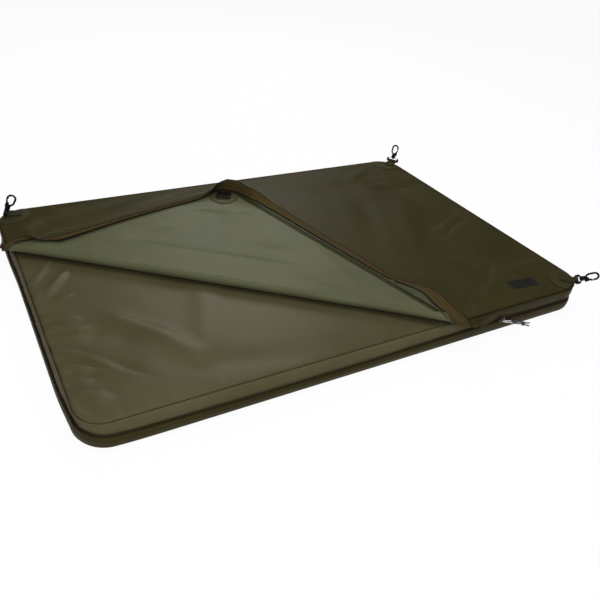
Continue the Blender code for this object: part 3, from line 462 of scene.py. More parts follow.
@dataclass(frozen=True)
class BareMetal:
    """Plated metal with drawing lines and slight tarnish."""

    name: str
    colour: Triple
    tarnish: Triple
    gloss: float = 0.24

    def material(self) -> Material:
        """Build the finish.

        Returns:
            The material.
        """
        graph = Graph(self.name, Coordinates.SOLID)
        drawn = graph.noise(2400.0, 2.0, 0.6, 0.0, (0.15, 1.0, 1.0))
        dull = graph.noise(300.0, 4.0, 0.65, 0.6)
        colour = graph.blend(dull.ramp(0.45, 0.8), self.colour, self.tarnish)
        return graph.finish(colour, dull * 0.2 + self.gloss, graph.bump(drawn, 0.2, 0.00005), 1.0)


@dataclass(frozen=True)
class BraidedCord:
    """Braided cord: crossing strands round it."""

    name: str
    colour: Triple = (0.012, 0.012, 0.012)
    light: Triple = (0.050, 0.050, 0.048)
    lay: float = 0.0017
    turn: float = 0.0075

    def material(self) -> Material:
        """Build the finish.

        Returns:
            The material.
        """
        graph = Graph(self.name)
        left = (graph.along / self.lay + graph.across / self.turn * 3.0).wave(1.0)
        right = (graph.along / self.lay - graph.across / self.turn * 3.0).wave(1.0)
        strands = left.most(right).share()
        fuzz = graph.noise(900.0, 3.0, 0.6)
        colour = graph.blend(strands * 0.5 + fuzz * 0.4, self.colour, self.light)
        return graph.finish(colour, fuzz * 0.2 + 0.6, graph.bump(strands, 0.7, 0.0003))


@dataclass(frozen=True)
class Thread:
    """Twisted sewing thread."""

    name: str
    colour: Triple
    lay: float = 0.0007

    def material(self) -> Material:
        """Build the finish.

        Returns:
            The material.
        """
        graph = Graph(self.name, Coordinates.SOLID)
        twist = (graph.along + graph.across + graph.up).wave(self.lay).share()
        worn = graph.noise(90.0, 3.0, 0.6)
        colour = graph.blend(twist * 0.5 + worn * 0.3, self.colour, scaled(self.colour, 1.9))
        return graph.finish(colour, worn * 0.1 + 0.65, graph.bump(twist, 0.4, 0.0001), specular=0.08)


@dataclass(frozen=True)
class WovenLabel:
    """A bare satin label: close dark threads and a slightly lighter border."""

    name: str
    colour: Triple = (0.006, 0.0065, 0.0050)
    light: Triple = (0.020, 0.021, 0.016)
    half: tuple[float, float] = (0.035, 0.015)
    border: float = 0.0022
    weft: float = 0.0006
    warp: float = 0.0009

    def material(self) -> Material:
        """Build the finish.

        Returns:
            The material.
        """
        graph = Graph(self.name)
        wefts = graph.across.wave(self.weft).share()
        warps = graph.along.wave(self.warp).share()
        side = (graph.along.size() - (self.half[0] - self.border)).above(0.0)
        end = (graph.across.size() - (self.half[1] - self.border)).above(0.0)
        edge = side.most(end)
        cloudy = graph.noise(60.0, 3.0, 0.6)
        colour = graph.blend(edge * 0.6 + cloudy * 0.25 + warps * 0.1, self.colour, self.light)
        normal = graph.bump(wefts * 0.6 + warps * 0.4, 0.4, 0.0001)
        return graph.finish(colour, cloudy * 0.15 + 0.42, normal, specular=0.12)


class Finish(Enum):
    """Every finish on the mat."""

    OUTER = CoatedCloth("outer_cloth", (0.0285, 0.0240, 0.0070), (0.0415, 0.0355, 0.0122), specular=0.06)
    PAD = CoatedCloth(
        "pad_cloth", (0.061, 0.0525, 0.0240), (0.080, 0.0700, 0.0348), 0.0009, 0.15, 0.08, 0.40, 0.13
    )
    # A lighter, matte copy of the pad cloth for the pad's side: painted light on the side.
    PAD_BAND = CoatedCloth(
        "pad_band_painted_light", (0.085, 0.0730, 0.0375), (0.110, 0.0960, 0.0510), 0.0009, 0.15, 0.08, 0.66, 0.03
    )
    COATED = CoatedCloth(
        "coated_cloth", (0.079, 0.083, 0.0430), (0.103, 0.108, 0.0585), 0.0009, 0.1, 0.10, 0.44, 0.08
    )
    # A darker copy of the coated cloth for the folded corner's skirt: painted shade on its inner side.
    SHADED = CoatedCloth(
        "coated_skirt_painted_shade", (0.050, 0.053, 0.0290), (0.067, 0.070, 0.0400), 0.0009, 0.1, 0.12, 0.50, 0.05
    )
    SEAM = CoatedCloth(
        "seam_cloth", (0.012, 0.010, 0.0035), (0.019, 0.016, 0.0055), 0.0009, 0.5, 0.12, 0.62, 0.04
    )
    # Cloth of the inner patch, also put on the folded corner's left seam as a painted highlight.
    INNER_PATCH = CoatedCloth(
        "inner_patch_and_highlight_cloth", (0.056, 0.047, 0.0190), (0.078, 0.066, 0.0290), weave=0.4, specular=0.12
    )
    PATCH = CoatedCloth(
        "patch_cloth", (0.031, 0.026, 0.0096), (0.047, 0.040, 0.0165), 0.0014, 0.5, specular=0.13
    )
    BINDING = CoatedCloth(
        "binding_cloth", (0.022, 0.023, 0.0075), (0.036, 0.037, 0.0130), 0.0012, 0.5, specular=0.10
    )
    TAPE = WovenTape("zip_tape_weave", (0.094, 0.063, 0.0215), (0.030, 0.0205, 0.0065))
    DARK_TAPE = WovenTape("dark_tape_weave", (0.0720, 0.0480, 0.0170), (0.030, 0.019, 0.0065))
    COIL = MouldedPlastic("coil_nylon", (0.018, 0.0115, 0.0045), (0.046, 0.030, 0.0120), 0.50)
    WEBBING = Webbing("corner_webbing", (0.015, 0.014, 0.0038), (0.056, 0.052, 0.0170))
    PLASTIC = MouldedPlastic("black_acetal", (0.0030, 0.0030, 0.0034), (0.011, 0.011, 0.012))
    SLIDER = BareMetal("slider_dark_metal", (0.060, 0.058, 0.055), (0.025, 0.024, 0.023), 0.34)
    WIRE = BareMetal("puller_wire", (0.72, 0.71, 0.69), (0.48, 0.46, 0.42))
    CORD = BraidedCord("puller_cord")
    THREAD = Thread("brown_thread", (0.046, 0.034, 0.0130))
    DARK_THREAD = Thread("dark_thread", (0.010, 0.009, 0.0060))
    LABEL = WovenLabel("bare_label")

    def material(self) -> Material:
        """The finish's material, built at its first use."""
        return bpy.data.materials.get(self.value.name) or self.value.material()


# Mesh tools


def eased(share: float) -> float:
    """A smooth step from 0 to 1."""
    share = min(max(share, 0.0), 1.0)
    return share * share * (3 - 2 * share)


def ripple(place: Sequence[float], seed: float) -> float:
    """Smooth noise from -1 to 1 at a place of up to three cycles, in the pattern of a seed."""
    spot = Vector((*place, *([0.0] * (3 - len(place)))))
    return noise.noise(spot + Vector((seed * 7.31, seed * 3.17, seed * 5.77)))


def shares(count: int) -> list[float]:
    """Even shares from 0 to 1 in this many steps."""
    return [step / count for step in range(count + 1)]


def added(name: str, data: Any) -> Object:
    """Make a mesh, lamp or camera an object of the scene.

    Args:
        name: The object's name.
        data: What it shows.

    Returns:
        The object.
    """
    obj = bpy.data.objects.new(name, data)
    bpy.context.scene.collection.objects.link(obj)
    return obj


def linked(name: str, mesh: Mesh, *finishes: Finish) -> Object:
    """Make a mesh a piece.

    Args:
        name: The piece's name.
        mesh: Its mesh.
        finishes: Its finishes, in slot order.

    Returns:
        The piece.
    """
    mesh.materials.clear()
    for finish in finishes:
        mesh.materials.append(finish.material())
    return added(name, mesh)


def smoothed(mesh: Mesh, angle: float = 50.0) -> Mesh:
    """Shade a mesh smooth, but for edges sharper than an angle in degrees.

    Args:
        mesh: The mesh.
        angle: The angle.

    Returns:
        The same mesh.
    """
    mesh.shade_smooth()
    mesh.set_sharp_from_angle(angle=math.radians(angle))
    return mesh


def freed(bm: BMesh) -> Mesh:
    """Turn a BMesh into a mesh and free it.

    Args:
        bm: The BMesh.

    Returns:
        The mesh.
    """
    mesh = bpy.data.meshes.new("cloth")
    bm.to_mesh(mesh)
    bm.free()
    return mesh


def running(grid: np.ndarray, ring: bool) -> np.ndarray:
    """Mean lengths along a grid's first axis, from 0 on, and back to its start if it is a ring."""
    looped = np.concatenate([grid, grid[:1]]) if ring else grid
    return np.append(0.0, np.cumsum(np.linalg.norm(np.diff(looped, axis=0), axis=2).mean(axis=1)))


def woven(rows: Rows, closed: bool = False, round_section: bool = False) -> Mesh:
    """A mesh through rows of points, with its cut measured in metres as its UV map.

    Args:
        rows: Rows of points, one row for each place along the piece.
        closed: Whether the last row joins the first.
        round_section: Whether each row is a ring.

    Returns:
        The mesh.
    """
    spots = np.array([[tuple(point) for point in row] for row in rows])
    count, width = spots.shape[:2]
    along, across = running(spots, closed), running(spots.swapaxes(0, 1), round_section)
    faces, cuts = [], []
    for i in range(len(along) - 1):
        for j in range(len(across) - 1):
            k, m = (i + 1) % count, (j + 1) % width
            faces.append((i * width + j, i * width + m, k * width + m, k * width + j))
            cuts += [(along[a], across[b]) for a, b in ((i, j), (i, j + 1), (i + 1, j + 1), (i + 1, j))]
    if round_section and not closed:
        faces.append(tuple(reversed(range(width))))
        faces.append(tuple(range((count - 1) * width, count * width)))
        cuts += [(0.0, 0.0)] * (2 * width)
    mesh = bpy.data.meshes.new("woven")
    mesh.from_pydata(spots.reshape(-1, 3).tolist(), [], faces)
    mesh.uv_layers.new(name="cut").data.foreach_set("uv", np.array(cuts, np.float32).ravel())
    return smoothed(mesh)


def heading(path: Sequence[Vector], index: int) -> Vector:
    """A path's direction at one of its points."""
    return (path[min(index + 1, len(path) - 1)] - path[max(index - 1, 0)]).normalized()


def tube(path: Sequence[Vector], radius: float | Callable[[float], float], sides: int = 8) -> Mesh:
    """A round tube along a path.

    Args:
        path: Points of its centre line.
        radius: Its radius, or the radius at a length along it.
        sides: Sides of its section.

    Returns:
        The mesh.
    """
    rows, run = [], 0.0
    side = heading(path, 0).orthogonal()
    turns = [math.tau * step / sides for step in range(sides)]
    for index, point in enumerate(path):
        ahead = heading(path, index)
        side = (side - ahead * side.dot(ahead)).normalized()
        over = ahead.cross(side)
        reach = radius(run) if callable(radius) else radius
        rows.append([point + (side * math.cos(turn) + over * math.sin(turn)) * reach for turn in turns])
        run += (path[min(index + 1, len(path) - 1)] - point).length
    return woven(rows, round_section=True)


def shell(obj: Object, thickness: float, second: bool = False, offset: float = 0.0) -> Object:
    """Give a sheet its thickness, and apply it.

    Args:
        obj: The sheet.
        thickness: Its thickness.
        second: Whether its other side and its edge take the second finish.
        offset: Where the sheet lies in the thickness, from -1 to 1.

    Returns:
        The same piece.
    """
    solid = obj.modifiers.new("Thickness", "SOLIDIFY")
    solid.thickness = thickness
    solid.offset = offset
    solid.material_offset = solid.material_offset_rim = int(second)
    mesh = bpy.data.meshes.new_from_object(obj.evaluated_get(bpy.context.evaluated_depsgraph_get()))
    obj.modifiers.clear()
    obj.data = mesh
    return obj


def dressed(node: str, finish: Finish, angle: float = 35.0) -> None:
    """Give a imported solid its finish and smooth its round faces.

    Args:
        node: The solid's name.
        finish: Its finish.
        angle: Edges sharper than this stay sharp, in degrees.
    """
    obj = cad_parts[node]
    obj.data.materials.clear()
    obj.data.materials.append(finish.material())
    obj.data.shade_smooth()
    obj.modifiers.new("Weld", "WELD").merge_threshold = 1e-6
    obj.modifiers.new("Sharp edges", "EDGE_SPLIT").split_angle = math.radians(angle)


def flat_mesh(bm: BMesh, place: Callable[[float, float], Vector] | None = None) -> Mesh:
    """Finish a flat sheet: its cut becomes its UV map, then each point goes to its place.

    Args:
        bm: The flat sheet.
        place: Where a point of the cut lies, or None where the sheet is in place.

    Returns:
        The mesh.
    """
    layer = bm.loops.layers.uv.new("cut")
    for face in bm.faces:
        for loop in face.loops:
            loop[layer].uv = loop.vert.co.xy
    if place is not None:
        for vert in bm.verts:
            vert.co = place(vert.co.x, vert.co.y)
    return smoothed(freed(bm), 70)


class Bed(Enum):
    """The bodies that soft pieces ride on."""

    MAT = "mat"
    CORNER = "cover_corner"
    PULLER = "puller"


def placed(piece: Object, bed: Bed, slot: str, *nodes: str) -> Object:
    """Let a piece ride on a body.

    Args:
        piece: The piece, its mesh final.
        bed: The body.
        slot: The material slot; not used.
        nodes: The solids it stands for.

    Returns:
        The same piece.
    """
    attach(piece, bed.value)
    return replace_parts(piece, *nodes) if nodes else piece


# The mat's plan and how its cover lies


@dataclass(frozen=True)
class Plan:
    """The mat's outline, and the heights, thicknesses and steps that its pieces share."""

    length: float = 1.100
    width: float = 0.750
    corner: float = 0.060
    fabric: float = 0.0012
    panel_cloth: float = 0.0011
    gap: float = 0.0003
    tray_height: float = 0.022
    pad_height: float = 0.049
    cover_thick: float = 0.0025
    cover_under: float = 0.0575
    flat_rim: float = 0.065
    tape_thick: float = 0.0008
    tape_gap: float = 0.0007
    tape_show: float = 0.0037
    cover_tape_show: float = 0.008
    coil_radius: float = 0.0013
    coil_spacing: float = 0.0014
    tooth: float = 0.0017
    zip_start: float = 0.0046
    panel_spacing: float = 0.0065
    fine_step: float = 0.004
    step: float = 0.005

    @property
    def half(self) -> Vector:
        """Half the length and width."""
        return Vector((self.length / 2, self.width / 2, 0))

    @property
    def core(self) -> Vector:
        """The centre of the back-right rounded corner."""
        return self.half - Vector((self.corner, self.corner, 0))

    @property
    def side_run(self) -> float:
        """Length of a straight short side."""
        return 2 * self.core.y

    @property
    def front_run(self) -> float:
        """Length of a straight long side."""
        return 2 * self.core.x

    @property
    def corner_run(self) -> float:
        """Length of a rounded corner."""
        return math.pi / 2 * self.corner

    @property
    def tip_run(self) -> float:
        """Outline length where the straight front begins."""
        return self.side_run + self.corner_run

    @property
    def perimeter(self) -> float:
        """Length of the outline."""
        return 2 * (self.side_run + self.front_run) + 4 * self.corner_run

    @property
    def tape_inset(self) -> float:
        """How far the zip's tape lies inside the outline."""
        return self.fabric + self.tape_gap + self.tape_thick / 2

    @property
    def base_coil_z(self) -> float:
        """Height of the base's coil."""
        return self.tray_height + self.tape_show + self.gap + self.coil_radius

    @property
    def chain_z(self) -> float:
        """Height where the two coils meet."""
        return self.base_coil_z + self.coil_radius + self.coil_spacing / 2

    @property
    def cover_coil_z(self) -> float:
        """Height of the cover's coil where it is closed."""
        return self.chain_z + self.coil_spacing / 2 + self.coil_radius

    @property
    def cover_mid(self) -> float:
        """Height of the middle of the cover's panel."""
        return self.cover_under + self.cover_thick / 2

    @property
    def cover_top(self) -> float:
        """Height of the top of the cover's panel."""
        return self.cover_under + self.cover_thick

    @property
    def seam_z(self) -> float:
        """Height of the top of the cover's skirt."""
        return self.cover_under - self.gap - self.fabric / 2

    @property
    def zip_end(self) -> float:
        """Outline length at which the zip ends."""
        return 2 * self.side_run + self.front_run + 2 * self.corner_run - self.zip_start

    def rim(self, run: float) -> tuple[Vector, Vector]:
        """The outline at a length along it.

        Args:
            run: Length, anticlockwise from the back of the left side.

        Returns:
            The point and the outward direction.
        """
        left = run % self.perimeter
        for side in range(4):
            out = Matrix.Rotation(side * math.pi / 2, 3, "Z") @ Vector((-1, 0, 0))
            ahead = Matrix.Rotation(math.pi / 2, 3, "Z") @ out
            straight = (self.side_run, self.front_run)[side % 2]
            way = out + ahead
            centre = Vector((way.x * self.core.x, way.y * self.core.y, 0))
            if left <= straight:
                return centre - ahead * (straight - left) + out * self.corner, out
            left -= straight
            if left <= self.corner_run:
                turn = left / self.corner
                facing = out * math.cos(turn) + ahead * math.sin(turn)
                return centre + facing * self.corner, facing
            left -= self.corner_run
        return self.rim(0)

    def at(self, run: float, reach: float, height: float) -> Vector:
        """The point at an outline length, this far outside the outline and this high."""
        spot, out = self.rim(run)
        return spot + out * reach + UP * height

    def runs(self, start: float, end: float, step: float) -> list[float]:
        """Even outline lengths from start to end, no further apart than a step."""
        count = max(1, math.ceil((end - start) / step))
        return [start + (end - start) * index / count for index in range(count + 1)]

    def lines(self, core: float, inset: float, spacing: float, corner_steps: int = 7) -> list[float]:
        """Places of grid lines across the mat.

        Args:
            core: Half the straight length.
            inset: How far the sheet's edge lies inside the outline.
            spacing: The distance between lines on the straight length.
            corner_steps: Lines in half of a rounded corner.

        Returns:
            The places, from low to high.
        """
        corner = self.corner - inset
        bends = [math.sqrt(2) * math.sin(math.pi / 4 * share) for share in shares(corner_steps)]
        low = [-core - corner * bend for bend in reversed(bends)]
        count = round(2 * core / spacing)
        straight = [-core + 2 * core * step / count for step in range(1, count)]
        return [*low, *straight, *(-spot for spot in reversed(low))]

    def sheet(self, inset: float, spacing: float) -> BMesh:
        """A flat sheet with the mat's plan.

        Args:
            inset: How far its edge lies inside the outline.
            spacing: The distance between its grid lines.

        Returns:
            The sheet, facing up.
        """
        across = self.lines(self.core.x, inset, spacing)
        deep = self.lines(self.core.y, inset, spacing)
        corner = self.corner - inset
        bm = bmesh.new()
        bmesh.ops.create_grid(bm, x_segments=len(across) - 1, y_segments=len(deep) - 1, size=1)
        for vert in bm.verts:
            x = across[round((vert.co.x + 1) / 2 * (len(across) - 1))]
            y = deep[round((vert.co.y + 1) / 2 * (len(deep) - 1))]
            over_x = max(abs(x) - self.core.x, 0) / corner
            over_y = max(abs(y) - self.core.y, 0) / corner
            if over_x and over_y:
                x = math.copysign(self.core.x + corner * over_x * math.sqrt(1 - over_y**2 / 2), x)
                y = math.copysign(self.core.y + corner * over_y * math.sqrt(1 - over_x**2 / 2), y)
            vert.co = (x, y, 0)
        return bm

    def tuck(self, run: float) -> float:
        """How far the base's edge is drawn in along the open left side and its front corner."""
        side = 0.0025 * eased((run - 0.10) / 0.10) * eased((self.tip_run - run) / 0.08)
        return side + 0.0070 * math.exp(-(((run - self.side_run - 0.3 * self.corner_run) / 0.07) ** 2))

    def inset_of(self, x: float, y: float) -> float:
        """How far a point lies inside the outline.

        Args:
            x: Place along the mat.
            y: Place across it.

        Returns:
            The distance.
        """
        over_x, over_y = abs(x) - self.core.x, abs(y) - self.core.y
        if over_x > 0 and over_y > 0:
            return self.corner - math.hypot(over_x, over_y)
        return self.corner - max(over_x, over_y)

    def beside(self, x: float, y: float) -> float:
        """Place along the nearer edge, for gathers that run in from it."""
        return x if self.half.y - abs(y) < self.half.x - abs(x) else y

    def free(self, x: float, y: float) -> float:
        """How free the panel's cloth is to rise or sag: 0 on the flat rim and 1 well inside it."""
        return eased(min(self.half.x - abs(x), self.half.y - abs(y)) / self.flat_rim - 1)


@dataclass(frozen=True)
class Fold:
    """The fold across the front-left corner: a soft roll and the corner lying face down beyond it."""

    plan: Plan = Plan()
    width_share: float = 0.748
    length_share: float = 0.6473
    radius: float = 0.00775
    dip: float = math.radians(0.35)

    @property
    def on_left(self) -> float:
        """Where the visible edge meets the left side, from the corner."""
        return self.plan.width * self.width_share

    @property
    def on_front(self) -> float:
        """Where the visible edge meets the front, from the corner."""
        return self.plan.length * self.length_share

    @property
    def span(self) -> float:
        """Length of the fold between the two sides."""
        return math.hypot(self.on_left, self.on_front)

    @property
    def normal(self) -> Vector:
        """The direction from the corner towards the fold."""
        return Vector((self.on_left, self.on_front, 0)) / self.span

    @property
    def line(self) -> Vector:
        """The fold's own direction, towards the front right."""
        return Vector((self.normal.y, -self.normal.x, 0))

    @property
    def axis(self) -> float:
        """Distance of the roll's axis from the square corner."""
        return self.on_left * self.on_front / self.span + self.radius + self.plan.cover_thick / 2

    @property
    def corner_edge(self) -> float:
        """Distance at which the flat corner begins."""
        return self.axis - math.pi * self.radius

    @property
    def hinge(self) -> float:
        """Distance of the line that the corner turns about."""
        return (self.axis + self.corner_edge) / 2

    @property
    def height(self) -> float:
        """Height of the roll's axis."""
        return self.plan.cover_mid + self.radius

    def distance(self, point: Vector) -> float:
        """How far a point of the plan lies from the corner."""
        return (point + self.plan.half).dot(self.normal)

    def left(self, distance: float, reach: float = 0.0) -> Vector:
        """The point at a distance and this far outside the left side."""
        x = -self.plan.half.x - reach
        return Vector((x, -self.plan.half.y + (distance + self.normal.x * reach) / self.normal.y, 0))

    def front(self, distance: float, reach: float = 0.0) -> Vector:
        """The point at a distance and this far outside the front."""
        y = -self.plan.half.y - reach
        return Vector((-self.plan.half.x + (distance + self.normal.y * reach) / self.normal.x, y, 0))

    def rolled(self, point: Vector, lift: float = 0.0) -> Vector:
        """Where a point of the closed cover lies on the roll.

        Args:
            point: The point in plan.
            lift: How far it lies above the middle of the closed panel.

        Returns:
            The point on the roll.
        """
        turn = (self.axis - self.distance(point)) / self.radius
        along = self.line * (point + self.plan.half).dot(self.line)
        reach = self.radius - lift
        out = self.axis - reach * math.sin(turn)
        return along - self.plan.half + self.normal * out + UP * (self.height - reach * math.cos(turn))

    def turned(self) -> Matrix:
        """Find the turn that takes the closed corner to where it lies.

        Returns:
            The turn.
        """
        middle = (self.left(self.hinge) + self.front(self.hinge)) / 2 + UP * self.height
        turn = Matrix.Rotation(-math.pi - self.dip, 4, self.line)
        return Matrix.Translation(middle) @ turn @ Matrix.Translation(-middle)

    def cut(self, distance: float, **side: bool) -> tuple[BMesh, float]:
        """A flat sheet with the mat's plan, cut along a line parallel to the fold.

        Args:
            distance: The line's distance.
            side: clear_outer drops the sheet past the line, clear_inner the sheet before it.

        Returns:
            The sheet and its area.
        """
        bm = self.plan.sheet(0.0, self.plan.panel_spacing)
        geometry = [*bm.verts, *bm.edges, *bm.faces]
        line = self.normal * distance - self.plan.half
        bmesh.ops.bisect_plane(bm, geom=geometry, dist=1e-6, plane_co=line, plane_no=self.normal, **side)
        return bm, sum(face.calc_area() for face in bm.faces)


@dataclass(frozen=True)
class Skirt:
    """How the cover's skirt, tape and coil hang along the zip."""

    plan: Plan = Plan()
    fold: Fold = Fold()
    upright: float = 0.032
    fold_in: float = 0.050
    turn_lead: float = 0.060
    flat: float = math.radians(90)
    folded: float = math.radians(-80)
    near_tip: float = math.radians(14)
    along_right: Marks = ((0.15, 80), (0.35, 92), (0.55, 98), (0.76, 109), (0.92, 76))
    tape_top: float = 0.0035
    spare: float = 0.009
    loose: float = 0.005
    looser: float = 0.012
    tip_rise: float = 0.003
    gathered: float = 0.60
    shut: float = 0.0045
    slider_x: float = 0.307
    slider_length: float = 0.015

    @property
    def tape_end(self) -> float:
        """How far below the seam the tape ends."""
        return self.coil_drop - self.plan.coil_radius - self.plan.gap

    @property
    def drop(self) -> float:
        """How far below the seam the skirt ends."""
        return self.tape_end - self.plan.cover_tape_show

    @property
    def coil_drop(self) -> float:
        """How far below the seam the coil is."""
        return self.plan.seam_z - self.plan.cover_coil_z

    @property
    def tape_lift(self) -> float:
        """How far inside the skirt the tape lies."""
        return self.plan.fabric / 2 + self.plan.tape_gap + self.plan.tape_thick / 2

    @property
    def slider_run(self) -> float:
        """Outline length of the slider."""
        return self.plan.tip_run + self.slider_x + self.plan.core.x

    @property
    def left(self) -> tuple[float, float]:
        """Outline lengths where the left skirt meets the roll and leaves it again as the corner's."""
        return self.along_left(self.fold.axis), self.along_left(self.fold.corner_edge)

    @property
    def front(self) -> tuple[float, float]:
        """Outline lengths where the front skirt meets the roll and leaves it again as the cover's."""
        return self.along_front(self.fold.corner_edge), self.along_front(self.fold.axis)

    def along_left(self, distance: float) -> float:
        """Outline length where a line parallel to the fold crosses the left side."""
        return self.plan.width - self.plan.corner - distance / self.fold.normal.y

    def along_front(self, distance: float) -> float:
        """Outline length where a line parallel to the fold crosses the front."""
        return self.plan.tip_run + distance / self.fold.normal.x - self.plan.corner

    def turns(self) -> Section:
        """Say how far the skirt is turned outward along its way.

        Returns:
            Outline lengths, each with the turn there.
        """
        tip = self.plan.tip_run
        length = self.front[0] - tip
        return [
            (self.upright, 0.0),
            (self.left[0], self.flat),
            (self.left[1], self.flat),
            (self.left[1] + self.fold_in, self.folded),
            (self.plan.side_run - self.turn_lead, self.folded),
            (tip, self.near_tip),
            *((tip + length * share, math.radians(angle)) for share, angle in self.along_right),
            (self.front[0], self.flat),
            (self.front[1], self.flat),
            (self.slider_run - self.slider_length, 0.0),
        ]

    def turn(self, run: float) -> float:
        """How far the skirt is turned outward from hanging straight down.

        Args:
            run: The outline length.

        Returns:
            The angle in radians.
        """
        marks = self.turns()
        if run <= marks[0][0]:
            return marks[0][1]
        for (start, first), (end, last) in zip(marks, marks[1:]):
            if run <= end:
                return first + (last - first) * eased((run - start) / (end - start))
        return marks[-1][1]

    def slant(self, run: float) -> float:
        """How far the skirt's ends shift along the outline, a metre outside it, so that they meet the roll.

        Args:
            run: The outline length.

        Returns:
            The shift, towards the front's end.
        """
        normal = self.fold.normal
        left = eased(1 - (self.left[0] - run) / 0.08) * eased(1 - (run - self.left[1]) / self.fold_in)
        front = eased(1 - (self.front[0] - run) / 0.14) * eased(1 - (run - self.front[1]) / 0.07)
        return front * normal.y / normal.x - left * normal.x / normal.y

    def slack(self, run: float) -> float:
        """How much wider the folded corner's edge lies than it was sewn, on each side.

        Args:
            run: The outline length.

        Returns:
            The extra width.
        """
        past = run - self.left[1] - self.fold_in
        left = self.spare * eased(past / 0.03) * eased(1 - past / 0.24)
        return left + self.tip_rise * math.exp(-(((run - self.plan.tip_run + 0.035) / 0.05) ** 2))

    def shown(self, run: float) -> float:
        """How much coated cloth shows between the seam and the tape, over what was sewn.

        Args:
            run: The outline length.

        Returns:
            The extra width.
        """
        tip, end = self.plan.tip_run, self.front[0]
        widest = tip + (end - tip) * 0.84
        wide = self.loose + self.looser * math.exp(-(((run - widest) / 0.055) ** 2))
        return wide * eased((run - tip) / 0.12) * eased((end - run) / 0.07)

    def hem(self, run: float) -> float:
        """How far below the seam the cloth ends: it reaches nearer the coil where the zip is shut."""
        return self.drop + self.shut * eased((run - self.slider_run - 0.01) / 0.04)

    def pinch(self, run: float) -> float:
        """How much of its width the skirt keeps where it is gathered round the fold's left end."""
        past = run - self.left[1] - self.fold_in * 0.5
        return 1 - self.gathered * eased(1 - (self.left[0] - run) / 0.06) * eased(1 - past / 0.03)

    def point(self, run: float, drop: float, lift: float) -> Vector:
        """A point on the closed cover's skirt.

        Args:
            run: The outline length.
            drop: How far below the seam.
            lift: How far inward off the skirt's middle surface.

        Returns:
            The point.
        """
        turn = self.turn(run)
        loose = self.shown(run) * min(drop / self.tape_top, 1)
        drop = drop * self.pinch(run) + self.slack(run) * (2 * drop / self.drop - 1) + loose
        aside = -self.plan.fabric / 2 + drop * math.sin(turn) - lift * math.cos(turn)
        height = self.plan.seam_z - drop * math.cos(turn) - lift * math.sin(turn)
        return self.plan.at(run + self.slant(run) * max(drop * math.sin(turn), 0.0), aside, height)


@dataclass(frozen=True)
class Creases:
    """Long soft creases: ridges, or hollows below zero.

    Each row has two points of the plan in mm, then the width and height in tenths of a mm.
    """

    rows: tuple[tuple[int, int, int, int, int, int], ...]

    def at(self, x: float, y: float) -> float:
        """Height of all the creases at a point.

        Args:
            x: Place along the mat.
            y: Place across it.

        Returns:
            The height.
        """
        total = 0.0
        for ax, ay, bx, by, width, height in self.rows:
            dx, dy = bx / 1000 - ax / 1000, by / 1000 - ay / 1000
            on, off = x - ax / 1000, y - ay / 1000
            share = (on * dx + off * dy) / (dx * dx + dy * dy)
            aside = abs(on * dy - off * dx) / math.hypot(dx, dy) / (width / 10000)
            if -0.3 < share < 1.3 and aside <= 3:
                ends = eased((share + 0.3) / 0.5) * eased((1.3 - share) / 0.6)
                total += height / 10000 * ends * math.exp(-(aside**2))
        return total


# Seams


def coil_piece(name: str, path: Sequence[Vector], plan: Plan) -> Object:
    """A zip's coil: a tube that swells at each turn of the wire.

    Args:
        name: The piece's name.
        path: Its centre line.
        plan: Its radius and the length of a turn.

    Returns:
        The piece.
    """
    step = need = plan.tooth / 3
    line = [path[0].copy()]
    for start, end in zip(path, path[1:]):
        length, gone = (end - start).length, 0.0
        while length - gone >= need:
            gone += need
            line.append(start.lerp(end, gone / length))
            need = step
        need -= length - gone

    def radius(run: float) -> float:
        """The radius at a length along the coil."""
        return plan.coil_radius * (0.78 + 0.22 * abs(math.sin(math.pi * run / plan.tooth)))

    return linked(name, tube(line, radius, 6), Finish.COIL)


@dataclass(frozen=True)
class Stitching:
    """Rows of stitches: short raised threads, each sunk into the cloth at both ends."""

    pitch: float = 0.0038
    length: float = 0.0027
    radius: float = 0.00042
    rise: float = 0.00028

    def stitches(self, path: Sequence[Vector], normals: Sequence[Vector] | Vector) -> Rows:
        """The stitches along a path.

        Args:
            path: The row's line.
            normals: The cloth's normal, one for all or one for each point.

        Returns:
            The ten points of each stitch, from its start to its end.
        """
        found = []
        lengths = np.cumsum([0.0] + [(b - a).length for a, b in zip(path, path[1:])])
        ups = normals if isinstance(normals, list) else [normals] * len(path)
        table = np.array([(*point, *up) for point, up in zip(path, ups)]).T

        def at(run: float) -> tuple[Vector, Vector]:
            """The point and normal at a length along the path."""
            row = [float(np.interp(run, lengths, column)) for column in table]
            return Vector(row[:3]), Vector(row[3:]).normalized()

        run = self.pitch / 2
        while run < lengths[-1] - self.length / 2:
            (start, _), (_, up), (end, _) = (at(run + self.length * part) for part in (-0.5, 0.0, 0.5))
            side = (end - start).cross(up).normalized() * self.radius
            stitch = [start - up * self.radius * 0.4]
            for share in (0.22, 0.78):
                spot = start.lerp(end, share) + up * self.rise * 0.8
                stitch += [spot + side, spot + up * self.radius * 0.8, spot - side, spot - up * self.radius]
            found.append([*stitch, end - up * self.radius * 0.4])
            run += self.pitch
        return found

    def sewn(self, name: str, rows: Iterable[tuple[Sequence[Vector], Any]], finish: Finish, bed: Bed) -> None:
        """Rows of stitches as one piece.

        Args:
            name: The piece's name.
            rows: Each row's path and normals.
            finish: The thread.
            bed: The body it rides on.
        """
        spots, faces = [], []
        for path, normals in rows:
            for stitch in self.stitches(path, normals):
                first = len(spots)
                for step in range(4):
                    a, b = first + 1 + step, first + 1 + (step + 1) % 4
                    faces += [(first, b, a), (a, b, b + 4, a + 4), (a + 4, b + 4, first + 9)]
                spots += [tuple(spot) for spot in stitch]
        mesh = bpy.data.meshes.new(name)
        mesh.from_pydata(spots, [], faces)
        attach(linked(name, smoothed(mesh, 80), finish), bed.value)


# The tray and its half of the zip


